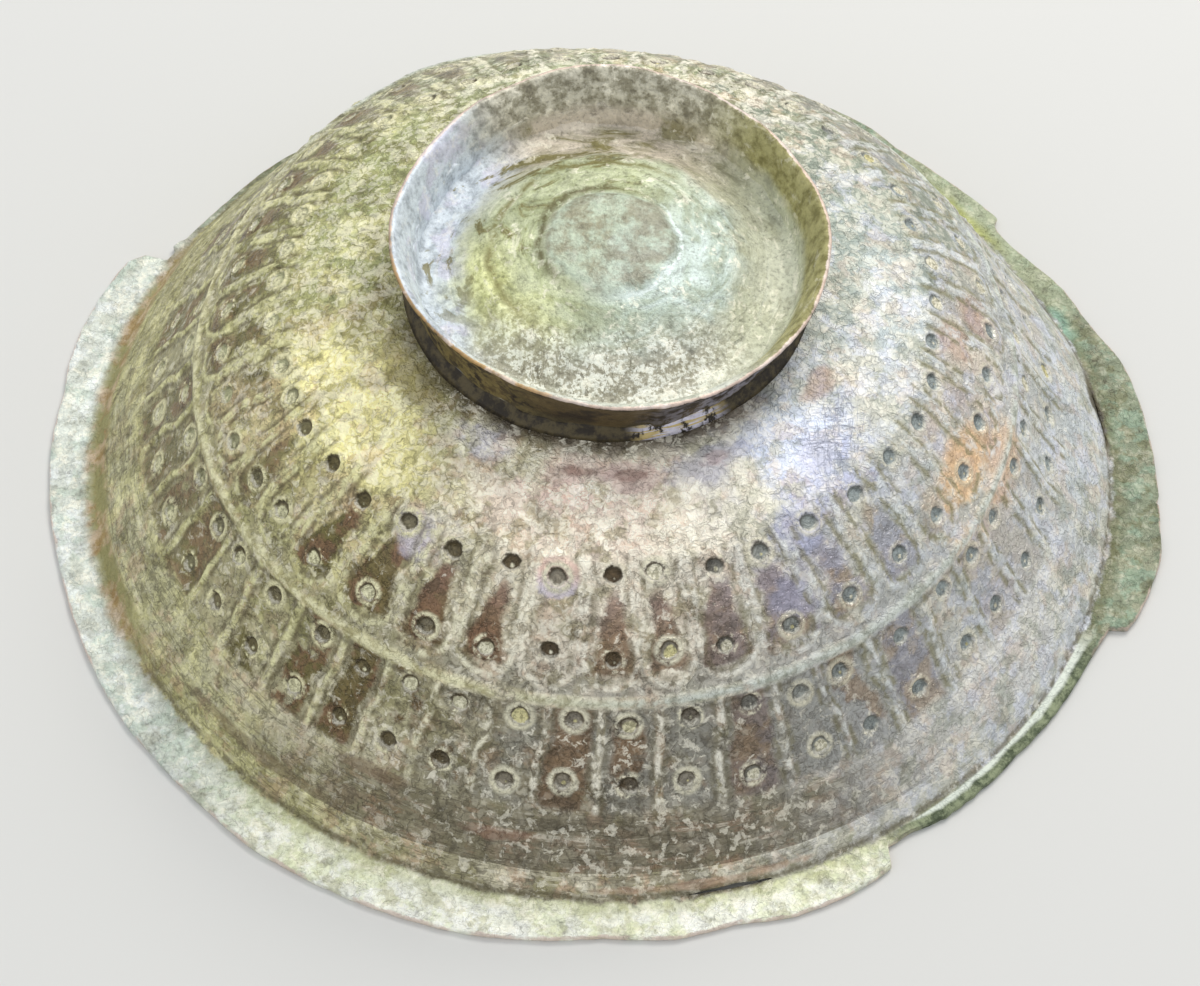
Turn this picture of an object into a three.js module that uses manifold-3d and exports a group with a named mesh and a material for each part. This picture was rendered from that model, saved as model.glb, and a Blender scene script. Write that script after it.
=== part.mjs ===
// Tinned copper bowl standing mouth down, as found: a raised sheet body with a torn, turned-out rim,
// a flared sheet foot knocked out of round, and the solder seam that beds the foot on the base.
// Millimetres. +Z is up through the foot, the rim rests on Z = 0 and the bowl's axis is the Z axis.
// Azimuths are in degrees from +X towards +Y; the front of the bowl faces -Y.
import * as THREE from "three";
import { mergeVertices } from "three/addons/utils/BufferGeometryUtils.js";
import Module from "manifold-3d";

// Body sheet
const bodyWall = 1.2;
const creaseRadius = 87.2;
const creaseRise = 1.7;
const footSeatRadius = 31.5;
const footSeatHeight = 50.6;

// Rim flange: it slopes down a little from the crease, then lies level
const flangeSlopeRun = 2.0;
const flangeBlankRun = 12;

// Base inside the foot, pushed out towards the foot's free edge
const baseRise = 8.1;
const baseRingRadius = 19.4;
const baseRingRise = 6.1;
const bossRadius = 11.1;
const bossStep = 0.9;
const bossCrown = 0.5;

// Foot ring
const footWall = 1.2;
const footHeight = 11.5;
const footEdgeRadius = 34.9;
const footFlareStart = 0.35;

// Solder seam
const solderGap = 0.3;
const solderBed = 0.5;
const solderLegOutside = 1.4;
const solderReachInside = 5.2;
const solderRiseInside = 4.4;

// Facets round each revolved piece
const bodyFacets = 80;
const footFacets = 64;

// Outer face of the wall from crease to foot seat: shares of the radial run and of the rise
const wallShape = [
  [0.0, 0.0],
  [0.06, 0.096],
  [0.132, 0.195],
  [0.213, 0.307],
  [0.311, 0.491],
  [0.433, 0.679],
  [0.598, 0.849],
  [0.794, 0.948],
  [1.0, 1.0],
];
const outerRows = 13;
const innerRows = 8;

// Places where the wall was pushed out (+) or in (-): azimuth, spread, height of the middle, half height
const dents = [
  { azimuth: 118, spread: 24, middle: 22, reach: 24, push: 4.6 },
  { azimuth: 38, spread: 19, middle: 3, reach: 15, push: -3.2 },
];

// Surviving edge of the flange: azimuth and how far the edge stands past the crease
const flangeEdge = [
  [-20.9, 4.4], [-20.3, 7.3], [-18.6, 8.0], [-15, 8.9], [-11, 9.7], [-6.6, 9.0], [-4.2, 8.6],
  [-3.7, 7.9], [-3.2, 8.6], [0, 8.4], [4.4, 8.2], [9, 8.0], [14, 7.8], [16.2, 7.3], [18.4, 6.3],
  [22, 5.8], [26, 6.0], [30, 5.0], [34.6, 4.1], [37.9, 4.5], [38.6, 6.4], [41.6, 6.0], [45.2, 5.5],
  [49.7, 4.8], [54.4, 4.4], [58, 5.1], [64, 5.2], [75, 6.0], [90, 6.8], [105, 7.3], [116, 7.6],
  [118, 6.0], [118.6, 2.4], [126, 1.9], [134, 2.5], [141, 2.0], [148.6, 2.3], [149.6, 3.9],
  [150.6, 2.2], [152.2, 2.5], [152.7, 6.5], [154.4, 8.4], [156.7, 8.7], [160, 9.0], [165, 9.0],
  [169, 8.8], [173, 7.9], [178, 8.2], [188, 7.9], [197, 7.4], [207, 7.8], [216, 8.2], [221, 7.9],
  [229, 8.1], [235, 8.8], [241, 8.5], [251, 8.4], [258, 8.2], [264, 7.4], [271, 6.3], [278, 7.1],
  [284, 6.1], [290, 7.2], [295, 6.9], [298.5, 6.3], [300.9, 5.5], [301.9, 2.2], [305, 1.8],
  [309, 3.0], [313, 3.0], [320, 2.7], [326, 3.2], [333, 3.4], [336.5, 3.8],
];

// Cracks: one across the flange, and lengths of the crease that have opened
const flangeCrack = { azimuth: 15.3, width: 0.8, start: 1.2 };
const creaseCracks = [
  { from: 279.5, to: 289, width: 0.8 },
  { from: 2.5, to: 10.5, width: 1.1 },
];

// Out-of-round outline of the foot's free edge: lobes, size and azimuth of a peak
const footLobes = [
  { count: 1, size: 0.42, peak: 357 },
  { count: 2, size: 0.64, peak: 127.5 },
  { count: 3, size: 0.43, peak: 82 },
  { count: 4, size: 0.47, peak: 8 },
];

const wasm = await Module();
wasm.setup();

const radians = THREE.MathUtils.degToRad;

// Solid from a geometry whose triangles share vertices only by place
function solidFrom(geometry) {
  const bare = geometry.clone();
  bare.deleteAttribute("normal");
  bare.deleteAttribute("uv");
  const merged = mergeVertices(bare, 1e-4);
  const corners = merged.index.array;
  const kept = [];
  for (let i = 0; i < corners.length; i += 3) {
    const [a, b, c] = [corners[i], corners[i + 1], corners[i + 2]];
    if (a !== b && b !== c && c !== a) kept.push(a, b, c);
  }
  const vertProperties = new Float32Array(merged.attributes.position.array);
  const triVerts = new Uint32Array(kept);
  return new wasm.Manifold(new wasm.Mesh({ numProp: 3, vertProperties, triVerts }));
}

function geometryFrom(solid) {
  const mesh = solid.getMesh();
  const geometry = new THREE.BufferGeometry();
  geometry.setAttribute("position", new THREE.BufferAttribute(mesh.vertProperties, 3));
  geometry.setIndex(new THREE.BufferAttribute(mesh.triVerts, 1));
  geometry.computeVertexNormals();
  return geometry;
}

// Path at a set distance to one side, mitred at each corner; an end on the axis keeps its radius
function offsetPath(path, distance) {
  const normal = (a, b) => new THREE.Vector2(b.y - a.y, a.x - b.x).normalize();
  return path.map((point, i) => {
    const before = i > 0 ? normal(path[i - 1], point) : null;
    const after = i < path.length - 1 ? normal(point, path[i + 1]) : null;
    if (point.x === 0) return new THREE.Vector2(0, point.y + distance * Math.sign(after.y));
    const first = before ?? after;
    const second = after ?? before;
    const mitre = first.clone().add(second);
    return point.clone().addScaledVector(mitre, distance / (1 + first.dot(second)));
  });
}

// Revolve a closed section of radius and height about Z; it has to run anticlockwise to face outwards
function revolve(section, facets) {
  const anticlockwise = THREE.ShapeUtils.area(section) > 0 ? section : [...section].reverse();
  return new THREE.LatheGeometry(anticlockwise, facets).rotateX(Math.PI / 2);
}

// Move every vertex along its own radius by push(azimuth, height)
function pushRadially(geometry, push) {
  const place = geometry.attributes.position;
  for (let i = 0; i < place.count; i++) {
    const x = place.getX(i);
    const y = place.getY(i);
    const radius = Math.hypot(x, y);
    if (radius < 1e-6) continue;
    const azimuth = THREE.MathUtils.radToDeg(Math.atan2(y, x));
    const scale = 1 + push(azimuth, place.getZ(i)) / radius;
    place.setXY(i, x * scale, y * scale);
  }
  return geometry;
}

// Outer face of the sheet, from the middle of the boss out to the flange
function bodyFace(wallRows) {
  const baseTop = footSeatHeight + baseRise;
  const base = [
    new THREE.Vector2(0, baseTop + bossStep + bossCrown),
    new THREE.Vector2(bossRadius * 0.55, baseTop + bossStep + bossCrown * 0.6),
    new THREE.Vector2(bossRadius - 0.9, baseTop + bossStep),
    new THREE.Vector2(bossRadius + 0.6, baseTop),
    new THREE.Vector2(baseRingRadius, footSeatHeight + baseRingRise),
    new THREE.Vector2((baseRingRadius + footSeatRadius) / 2, footSeatHeight + baseRingRise * 0.42),
  ];
  const run = creaseRadius - footSeatRadius;
  const rise = footSeatHeight - creaseRise;
  const stations = wallShape.map(([across, up]) => {
    return new THREE.Vector2(creaseRadius - run * across, creaseRise + rise * up);
  });
  const wall = new THREE.SplineCurve(stations.reverse()).getSpacedPoints(wallRows);
  const level = creaseRadius + flangeSlopeRun;
  const flange = [
    new THREE.Vector2(level, bodyWall),
    new THREE.Vector2(creaseRadius + flangeBlankRun, bodyWall),
  ];
  return [...base, ...wall, ...flange];
}

// Height of the outer face at a radius
function faceHeight(face, radius) {
  for (let i = 1; i < face.length; i++) {
    const [a, b] = [face[i - 1], face[i]];
    if (radius >= a.x && radius <= b.x) return a.y + ((b.y - a.y) * (radius - a.x)) / (b.x - a.x);
  }
  return face[0].y;
}

function wallPush(azimuth, height) {
  return dents.reduce((sum, dent) => {
    const turn = THREE.MathUtils.euclideanModulo(azimuth - dent.azimuth + 180, 360) - 180;
    const away = Math.min(1, Math.abs(height - dent.middle) / dent.reach);
    const depth = Math.cos((away * Math.PI) / 2) ** 2;
    return sum + dent.push * depth * Math.exp(-((turn / dent.spread) ** 2));
  }, 0);
}

// Upright block over a plan outline, from below the rim to above the foot
function block(points, low, high) {
  const shape = new THREE.Shape(points);
  return new THREE.ExtrudeGeometry(shape, { depth: high - low, bevelEnabled: false }).translate(0, 0, low);
}

function polar(radius, azimuth) {
  return new THREE.Vector2(radius * Math.cos(radians(azimuth)), radius * Math.sin(radians(azimuth)));
}

// Plan block that keeps what survives of the flange
function flangePlan() {
  const outline = flangeEdge.map(([azimuth, past]) => polar(creaseRadius + past, azimuth));
  return solidFrom(block(outline, -bodyWall, footSeatHeight + baseRise + 10));
}

function radialCrack() {
  const side = polar(flangeCrack.width / 2, flangeCrack.azimuth + 90);
  const inner = polar(creaseRadius + flangeCrack.start, flangeCrack.azimuth);
  const outer = polar(creaseRadius + flangeBlankRun, flangeCrack.azimuth);
  const outline = [
    inner,
    outer.clone().sub(side),
    outer.clone().add(side),
  ];
  return solidFrom(block(outline, -bodyWall, creaseRise + bodyWall));
}

function creaseSlot({ from, to, width }) {
  const steps = 4;
  const arc = (radius, start, end) => {
    return Array.from({ length: steps + 1 }, (_, i) => polar(radius, start + ((end - start) * i) / steps));
  };
  const outline = [...arc(creaseRadius, from, to), ...arc(creaseRadius - width, to, from)];
  return solidFrom(block(outline, -bodyWall, creaseRise + 3 * bodyWall));
}

// One raised sheet: revolve it, push its wall out of round, then tear the flange and open the cracks
function bowlBody() {
  const face = bodyFace(outerRows);
  const inside = offsetPath(bodyFace(innerRows), bodyWall).reverse();
  const sheet = pushRadially(revolve([...face, ...inside], bodyFacets), wallPush);
  let body = solidFrom(sheet).intersect(flangePlan()).subtract(radialCrack());
  for (const crack of creaseCracks) body = body.subtract(creaseSlot(crack));
  return geometryFrom(body);
}

// The foot leaves the seat nearly upright and flares to its free edge
const footRootLift = 2 * solderGap + solderBed;

function footBend(share) {
  return (footEdgeRadius - footSeatRadius) * (footFlareStart * share + (1 - footFlareStart) * share ** 2);
}

function footPush(azimuth, height) {
  const share = THREE.MathUtils.clamp((height - footSeatHeight) / footHeight, 0, 1);
  return footLobes.reduce((sum, lobe) => {
    return sum + share * lobe.size * Math.cos(radians(lobe.count * (azimuth - lobe.peak)));
  }, 0);
}

function footRing() {
  const face = bodyFace(outerRows);
  const outerRoot = footSeatRadius;
  const innerRoot = footSeatRadius - footWall;
  const top = footSeatHeight + footHeight;
  const rise = (radius) => faceHeight(face, radius) + footRootLift;
  const shares = [0.33, 0.67];
  const outer = shares.map((share) => {
    return new THREE.Vector2(outerRoot + footBend(share), THREE.MathUtils.lerp(rise(outerRoot), top, share));
  });
  const inner = shares.map((share) => {
    return new THREE.Vector2(innerRoot + footBend(share), THREE.MathUtils.lerp(rise(innerRoot), top, share));
  });
  const section = [
    new THREE.Vector2(innerRoot, rise(innerRoot)),
    new THREE.Vector2(outerRoot, rise(outerRoot)),
    ...outer,
    new THREE.Vector2(footEdgeRadius, top),
    new THREE.Vector2(footEdgeRadius - footWall, top),
    ...inner.reverse(),
    new THREE.Vector2(innerRoot, rise(innerRoot)),
  ];
  return geometryFrom(solidFrom(pushRadially(revolve(section, footFacets), footPush)));
}

// Seam of solder: a bed under the foot's root, a small fillet outside it, and inside it a wide hollow
// fillet that leans back with the foot and runs out over the base
function footSolder() {
  const face = bodyFace(outerRows);
  const outerRoot = footSeatRadius;
  const innerRoot = footSeatRadius - footWall;
  const seat = (radius) => faceHeight(face, radius) + solderGap;
  const point = (radius, lift) => new THREE.Vector2(radius, seat(radius) + lift);
  const outside = outerRoot + solderGap;
  const inside = innerRoot - solderGap;
  const lean = footBend(solderRiseInside / (footHeight - footRootLift));
  const section = [
    point(inside - solderReachInside, 0),
    point(inside - solderReachInside / 2, 0),
    point(inside, 0),
    point(outside, 0),
    point(outside + solderLegOutside, 0),
    point(outside + solderLegOutside, solderBed / 2),
    point(outside, solderBed + solderLegOutside),
    point(outside, solderBed),
    point(inside, solderBed),
    point(inside + lean, solderBed + solderRiseInside),
    point(inside + lean * 0.2, solderBed + solderRiseInside * 0.5),
    point(inside - solderReachInside * 0.4, solderBed + solderRiseInside * 0.14),
    point(inside - solderReachInside, solderBed / 2),
    point(inside - solderReachInside, 0),
  ];
  return geometryFrom(solidFrom(pushRadially(revolve(section, footFacets), footPush)));
}

function piece(name, geometry, colour, roughness, metalness) {
  const material = new THREE.MeshStandardMaterial({ color: colour, roughness, metalness });
  const mesh = new THREE.Mesh(geometry, material);
  mesh.name = name;
  return mesh;
}

const bowl = new THREE.Group();
bowl.add(piece("bowl_body", bowlBody(), 0x8c9474, 0.6, 0.45));
bowl.add(piece("foot_ring", footRing(), 0x9aa096, 0.5, 0.55));
bowl.add(piece("foot_solder", footSolder(), 0x8d8560, 0.55, 0.5));

export default bowl;
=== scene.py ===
# Tinned copper bowl standing mouth down: a raised sheet body with two chased bands of tongues and ring
# punches, a torn turned-out rim, a flared foot ring and the solder seam that holds the foot.
# The meshes are worked out in millimetres and stored in metres. Azimuths are in degrees from +X towards +Y.
import bisect
import math
import random

import bmesh
import bpy
from mathutils import Matrix, Vector, noise


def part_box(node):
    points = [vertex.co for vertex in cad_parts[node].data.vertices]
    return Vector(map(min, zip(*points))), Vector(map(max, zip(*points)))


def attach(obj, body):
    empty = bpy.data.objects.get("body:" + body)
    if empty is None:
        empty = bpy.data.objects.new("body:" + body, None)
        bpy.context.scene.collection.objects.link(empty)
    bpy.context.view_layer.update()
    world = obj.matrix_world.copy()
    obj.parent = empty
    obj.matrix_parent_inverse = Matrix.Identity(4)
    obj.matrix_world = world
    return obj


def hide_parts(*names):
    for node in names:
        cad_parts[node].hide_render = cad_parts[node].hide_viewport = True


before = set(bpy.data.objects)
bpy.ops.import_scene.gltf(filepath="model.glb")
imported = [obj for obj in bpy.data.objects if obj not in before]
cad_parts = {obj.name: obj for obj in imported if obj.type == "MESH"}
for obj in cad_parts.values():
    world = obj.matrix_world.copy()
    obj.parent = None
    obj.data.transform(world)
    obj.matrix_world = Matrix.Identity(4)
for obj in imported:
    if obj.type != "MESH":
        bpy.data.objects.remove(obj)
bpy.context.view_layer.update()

bl_info = {
    "name": "Tinned copper bowl",
    "version": (1, 0, 0),
    "blender": (4, 5, 0),
    "location": "3D View > Sidebar > Bowl",
    "description": "Builds a raised and chased copper bowl with its foot, solder seam and stage",
    "category": "Add Mesh",
}

BODY_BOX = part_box("bowl_body")
FOOT_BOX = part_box("foot_ring")

MM = 0.001

# Sizes in millimetres that the shapes share
SHEET = 1.2
ROOT_RADIUS, ROOT_HEIGHT = 31.5, 50.6
LINING_RADIUS = 30.3
BASE_RING_RADIUS, BOSS_RADIUS = 19.4, 11.1
SLOPE_RUN, BLANK_RUN = 2.0, 12.0
CRACK_INSET = 0.8
SOLDER_EDGE, SOLDER_BED = 31.8, 30.0

# Rows of faces on the sheet: height of one outside, number inside and across the flange
OUTER_ROW, INNER_ROWS, FLANGE_ROWS = 1.16, 24, 8

# Share of the foot's flare that is straight from the root
FLARE_START = 0.35

# Where the outer end of the foot's strip starts, and how far round its step runs out, in degrees
LAP_AZIMUTH, LAP_LENGTH = 283.5, 14

# What the ring field holds away from every punch, and the distance that stands for no chased line
NO_RING, NO_LINE = 6.0, 9.0

# Edges are halved where the torn outline steps by more than this from one vertex to the next, in three rounds
TEAR_STEP, TEAR_ROUNDS = 0.35, 3

# How far inside the crease the rim's finish starts, and the share of the hammer marks that the flange keeps
RIM_START, FLANGE_RELIEF = 5.0, 0.6

# The visible foot: its low end over the solder, and how far its inner and outer side stop below the edge
FOOT_LOW, FOOT_RISE, LIP_DROP = 51.3, 10.8, 0.45

# How far the foot's lower edge stands over the sheet
FOOT_CLEARANCE = 0.75

# Lamps: name, azimuth and elevation in degrees, distance and size in metres, share of the key, colour
LAMPS = [
    ("key", 62, 50, 1.0, 0.5, 1.0, (1.0, 0.97, 0.92)),
    ("fill", 215, 40, 1.2, 0.9, 0.25, (0.95, 0.98, 1.0)),
]

# Height in metres that the lamps point at
MIDDLE_HEIGHT = 0.03

# Colour and strength of the even light
SKY_COLOUR, SKY_STRENGTH = (0.86, 0.89, 0.93, 1), 0.82

# Camera that was fitted to the photograph: place in metres, and its right and up directions
CAMERA_PLACE = (-0.000417, -0.367664, 0.500810)
CAMERA_RIGHT = (0.99972018, 0.0191876, 0.01383459)
CAMERA_UP = (-0.02365502, 0.81091587, 0.58468444)

# Outer face of the base: radius and depth below the boss
BASE_SHAPE = [(0, 0), (6.1, 0.2), (9.7, 0.5), (11.2, 1.4), (19.4, 3.4), (25.4, 6.9)]

# Rounded edge of the flange: share of the thickness and how far it stops short
EDGE_SHAPE = [(0.0, 0.24), (0.2, 0.05), (0.5, 0.0), (0.8, 0.05), (1.0, 0.24)]

# Outer face of the wall from crease to foot seat: shares of the radial run and of the rise
WALL_SHAPE = [
    (0.0, 0.0), (0.06, 0.096), (0.132, 0.195), (0.213, 0.307), (0.311, 0.491),
    (0.433, 0.679), (0.598, 0.849), (0.794, 0.948), (1.0, 1.0),
]

# Places where the wall was pushed out (+) or in (-): azimuth, spread, middle height, half height, push
DENTS = [(118, 24, 22, 24, 4.6), (38, 19, 3, 15, -3.2)]

# Surviving edge of the flange: azimuth and how far the edge stands past the crease
FLANGE_EDGE = [
    (-20.9, 4.4), (-20.3, 7.3), (-18.6, 8.0), (-15, 8.9), (-11, 9.7), (-6.6, 9.0), (-4.2, 8.6),
    (-3.7, 7.9), (-3.2, 8.6), (0, 8.4), (4.4, 8.2), (9, 8.0), (14, 7.8), (15.0, 7.6), (15.3, 1.2),
    (15.6, 7.3), (16.2, 7.3), (18.4, 6.3), (22, 5.8), (26, 6.0), (30, 5.0), (34.6, 4.1), (37.9, 4.5),
    (38.6, 6.4), (41.6, 6.0), (45.2, 5.5), (49.7, 4.8), (54.4, 4.4), (58, 5.1), (64, 5.2), (75, 6.0),
    (90, 6.8), (105, 7.3), (116, 7.6), (118, 6.0), (118.6, 2.4), (126, 1.9), (134, 2.5), (141, 2.0),
    (148.6, 2.3), (149.6, 3.9), (150.6, 2.2), (152.2, 2.5), (152.7, 6.5), (154.4, 8.4), (156.7, 8.7),
    (160, 9.0), (165, 9.0), (169, 8.8), (173, 7.9), (178, 8.2), (188, 7.9), (197, 7.4), (207, 7.8),
    (216, 8.2), (221, 7.9), (229, 8.1), (235, 8.8), (241, 8.5), (251, 8.4), (258, 8.2), (264, 7.4),
    (271, 6.3), (278, 7.1), (284, 6.1), (290, 7.2), (295, 6.9), (298.5, 6.3), (300.9, 5.5), (301.9, 2.2),
    (305, 1.8), (309, 3.0), (313, 3.0), (320, 2.7), (326, 3.2), (333, 3.4), (336.5, 3.8), (339.1, 4.4),
]

# Lengths of the crease that have opened: from, to, width
CREASE_CRACKS = [(280, 289, 0.8), (3, 11, 1.1)]

# Out-of-round outline of the foot's free edge: lobes, size and azimuth of a peak
FOOT_LOBES = [(1, 0.42, 357), (2, 0.64, 127.5), (3, 0.43, 82), (4, 0.47, 8)]

# Ring punches as they were struck, by azimuth; the rest of each row is evenly spaced.
# Name, cells in the band, radius of the row, the cell that numbering starts from, struck azimuths
PUNCH_ROWS = [
    ("a", 41, 53.9, 272, [161, 169, 176, 185, 195, 202, 209, 218, 227, 236, 245, 255, 263, 272, 279, 289,
                          297, 307, 317, 327, 336, 345, 353, 362]),
    ("b", 41, 63.1, 272, [177, 185, 193, 201, 209, 216, 225, 235, 245, 254, 263, 272, 280, 288, 298, 308,
                          318, 327, 336, 345, 354]),
    ("c", 47, 69.9, 274, [170, 177, 185, 193, 200, 208, 214, 222, 231, 238, 245, 252, 260, 267, 274, 282,
                          290, 297, 303, 313, 322, 329, 336, 345, 352]),
    ("d", 47, 75.4, 274, [191, 199, 207, 214, 222, 230, 237, 244, 251, 259, 266, 274, 281, 289, 298, 305,
                          313, 322, 329, 337, 345, 352]),
]


def tint(code):
    """Linear colour from a code such as 0x8C9474."""
    parts = [((code >> shift) & 255) / 255 for shift in (16, 8, 0)]
    return tuple(part / 12.92 if part <= 0.04045 else ((part + 0.055) / 1.055) ** 2.4 for part in parts)


def length(name, description, millimetres):
    return bpy.props.FloatProperty(
        name=name, description=description, default=millimetres * MM, min=0.0, unit="LENGTH")


def colour(name, description, code):
    return bpy.props.FloatVectorProperty(
        name=name, description=description, default=tint(code), min=0.0, max=1.0, subtype="COLOR", size=3)


def count(name, description, number):
    return bpy.props.IntProperty(name=name, description=description, default=number, min=3)


class BodySizes(bpy.types.PropertyGroup):
    """Sizes of the raised sheet"""
    sheet: length("Sheet", "Thickness of the copper sheet", SHEET)
    crease_radius: length("Crease radius", "Where the wall turns out into the flange", 87.2)
    crease_height: length("Crease height", "Height of the crease's outer side", 1.7)
    seat_radius: length("Seat radius", "Outside of the foot's root", ROOT_RADIUS)
    seat_height: length("Seat height", "Height of the sheet under the foot's root", ROOT_HEIGHT)
    ridge_radius: length("Ridge radius", "Border ridge between the two bands", 67.7)
    ridge_lift: length("Ridge lift", "How far the border ridge stands proud", 0.5)
    rib_lift: length("Rib lift", "How far the ribs between tongues stand proud", 0.5)
    pit_radius: length("Pit radius", "Radius of a ring punch's pit", 1.35)
    pit_depth: length("Pit depth", "Depth of a clean pit", 0.6)
    segments: count("Segments", "Segments round the bowl before the chased work is refined", 360)


class FootSizes(bpy.types.PropertyGroup):
    """Sizes of the foot ring and its solder"""
    strip: length("Strip", "Thickness of the foot's strip", 1.2)
    edge_radius: length("Edge radius", "Outside of the free edge", 34.9)
    height: length("Height", "From the sheet under the root to the free edge", 11.5)
    lap_step: length("Lap step", "Step where one end of the strip laps the other", 0.45)
    solder_outside: length("Solder outside", "Reach of the seam outside the foot", 1.4)
    solder_inside: length("Solder inside", "Reach of the hollow fillet over the base", 5.2)
    solder_rise: length("Solder rise", "Height of the hollow fillet up the foot's inner side", 4.4)
    segments: count("Segments", "Segments round the foot", 256)


class BowlColours(bpy.types.PropertyGroup):
    """Colours of the patina"""
    crust: colour("Crust", "Warm pale crust at the front", 0xF0E4CE)
    clay: colour("Clay", "Grey-brown ground of the lower band", 0x9C947C)
    moss: colour("Moss", "Olive patina of the left side", 0xBAB57E)
    mint: colour("Mint", "Pale green patina of the back", 0xABB090)
    lilac: colour("Lilac", "Blue-grey tin of the right side", 0xD0D3D4)
    # Dirt is also the painted shade on the upper edges of the pits
    dirt_and_shade: colour("Dirt", "Dirt in gaps and hollows", 0x453B28)
    # Cream is also the painted highlight on the lower edges of the pits
    cream_and_highlight: colour("Cream", "Lime grains and worn crests", 0xFBF5E2)
    copper: colour("Copper", "Bare brown copper", 0x6B4E32)
    tin: colour("Tin", "Smooth grey tin between the ribs", 0x9B9B94)
    snow: colour("Snow", "Pale crust on the left flange", 0xDDE2D8)
    leaf: colour("Leaf", "Yellow-green crust on the front flange", 0xF4F5E4)
    sage: colour("Sage", "Grey-green crust on the right flange", 0x878F76)
    ochre: colour("Ochre", "Ochre stain along the crease", 0xA08250)
    rose: colour("Rose", "Worn edges", 0xDCC6B8)


class StageSettings(bpy.types.PropertyGroup):
    """Floor, light and camera"""
    floor: colour("Floor", "Colour of the floor", 0xD9D8D4)
    lens: bpy.props.FloatProperty(name="Lens", description="Focal length", default=108.0, unit="CAMERA")
    key: bpy.props.FloatProperty(
        name="Key light", description="Power of the key light", default=5.6, unit="POWER")


# Materials

class Wire:
    """An output in a material's node tree. Arithmetic with it adds Math nodes."""

    def __init__(self, finish, socket):
        self.finish = finish
        self.socket = socket

    def maths(self, operation, *others):
        return self.finish.node("Math", {"operation": operation}, dict(enumerate([self, *others])))

    def __add__(self, other):
        return self.maths("ADD", other)

    def __sub__(self, other):
        return self.maths("SUBTRACT", other)

    def __rsub__(self, other):
        return self.finish.node("Math", {"operation": "SUBTRACT"}, {0: other, 1: self})

    def __mul__(self, other):
        return self.maths("MULTIPLY", other)

    def __truediv__(self, other):
        return self.maths("DIVIDE", other)

    def __pow__(self, other):
        return self.maths("POWER", other)

    def __or__(self, other):
        """The larger of the two."""
        return self.maths("MAXIMUM", other)

    def __abs__(self):
        return self.maths("ABSOLUTE")

    __radd__ = __add__
    __rmul__ = __mul__


class Finish:
    """A material that is built up node by node."""

    def __init__(self, name):
        self.material = bpy.data.materials.new(name)
        self.material.use_nodes = True
        self.tree = self.material.node_tree
        self.tree.nodes.clear()

    def node(self, kind, settings=None, sockets=None, out=0):
        made = self.tree.nodes.new("ShaderNode" + kind)
        for key, value in (settings or {}).items():
            setattr(made, key, value)
        for key, value in (sockets or {}).items():
            self.feed(made.inputs[key], value)
        return Wire(self, made.outputs[out]) if made.outputs else None

    def feed(self, socket, value):
        if isinstance(value, Wire):
            self.tree.links.new(value.socket, socket)
        elif socket.type == "RGBA":
            socket.default_value = (*(tint(value) if isinstance(value, int) else value), 1.0)
        else:
            socket.default_value = value

    def smooth(self, value, low, high):
        """0 at low, 1 at high, eased between; low may be the larger."""
        return self.node("MapRange", {"interpolation_type": "SMOOTHSTEP"}, {0: value, 1: low, 2: high})

    def bump_at(self, value, middle, width):
        """1 where value is at middle, easing to 0 at width away."""
        return self.smooth(abs(value - middle), width, 0.0)

    def mix(self, share, first, second):
        """From the first colour to the second by a share; a plain colour may be a code such as 0x8C9474."""
        return self.node("Mix", {"data_type": "RGBA"}, {0: share, 6: first, 7: second}, out=2)

    def fade(self, value, low, high, first, second):
        """The first colour where value is at low, the second where it is at high."""
        return self.mix(self.smooth(value, low, high), first, second)

    def light(self, colour_wire, factor):
        """A colour made lighter or darker by a factor."""
        return self.node("HueSaturation", None, {"Color": colour_wire, "Value": factor})

    def cloud(self, place, size, detail=3.0, roughness=0.55, distortion=0.0):
        """Noise from 0 to 1 with features of a size in millimetres."""
        sockets = {"Vector": place, "Scale": 1.0 / size, "Detail": detail, "Roughness": roughness,
                   "Distortion": distortion}
        return self.node("TexNoise", None, sockets)

    def grains(self, place, size, feature, out):
        return self.node("TexVoronoi", {"feature": feature}, {"Vector": place, "Scale": 1.0 / size}, out=out)

    def attribute(self, name, out="Fac"):
        return self.node("Attribute", {"attribute_name": name}, None, out=out)

    def split(self, wire, kind="XYZ"):
        """The three parts of a vector, or of a colour where kind is Color."""
        made = self.node("Separate" + kind, None, {0: wire})
        return [Wire(self, output) for output in made.socket.node.outputs]

    def join(self, x, y, z):
        return self.node("CombineXYZ", None, {0: x, 1: y, 2: z})

    def thread(self, value, middle, width):
        """1 on the contour where a noise crosses middle, which draws thin wandering lines."""
        return self.smooth(abs(value - middle), width, width * 0.3)

    def finish(self, sockets, height=None, depth=0.0):
        """Close the material with a shader's sockets, and bumps from height, depth in millimetres."""
        if height:
            normal = self.node("Bump", None, {"Height": height, "Distance": depth * MM, "Strength": 1.0})
            sockets = {**sockets, "Normal": normal}
        shader = self.node("BsdfPrincipled", None, sockets)
        self.node("OutputMaterial", None, {"Surface": shader})
        return self.material


# Shape of the sheet

def millimetres(metres):
    return metres / MM


def eased(low, high, value):
    share = min(1.0, max(0.0, (value - low) / (high - low)))
    return share * share * (3 - 2 * share)


def hump(value, middle, width):
    """1 at middle, falling to 0 at about two widths away."""
    return math.exp(-((value - middle) / width) ** 2)


def turned(degrees, middle):
    """Signed degrees from middle, by the shorter way."""
    return (degrees - middle + 180) % 360 - 180


def rough(x, y, z, size):
    """Noise from -1 to 1 with features of a size in millimetres."""
    return noise.noise(Vector((x / size, y / size, z / size)))


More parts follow.
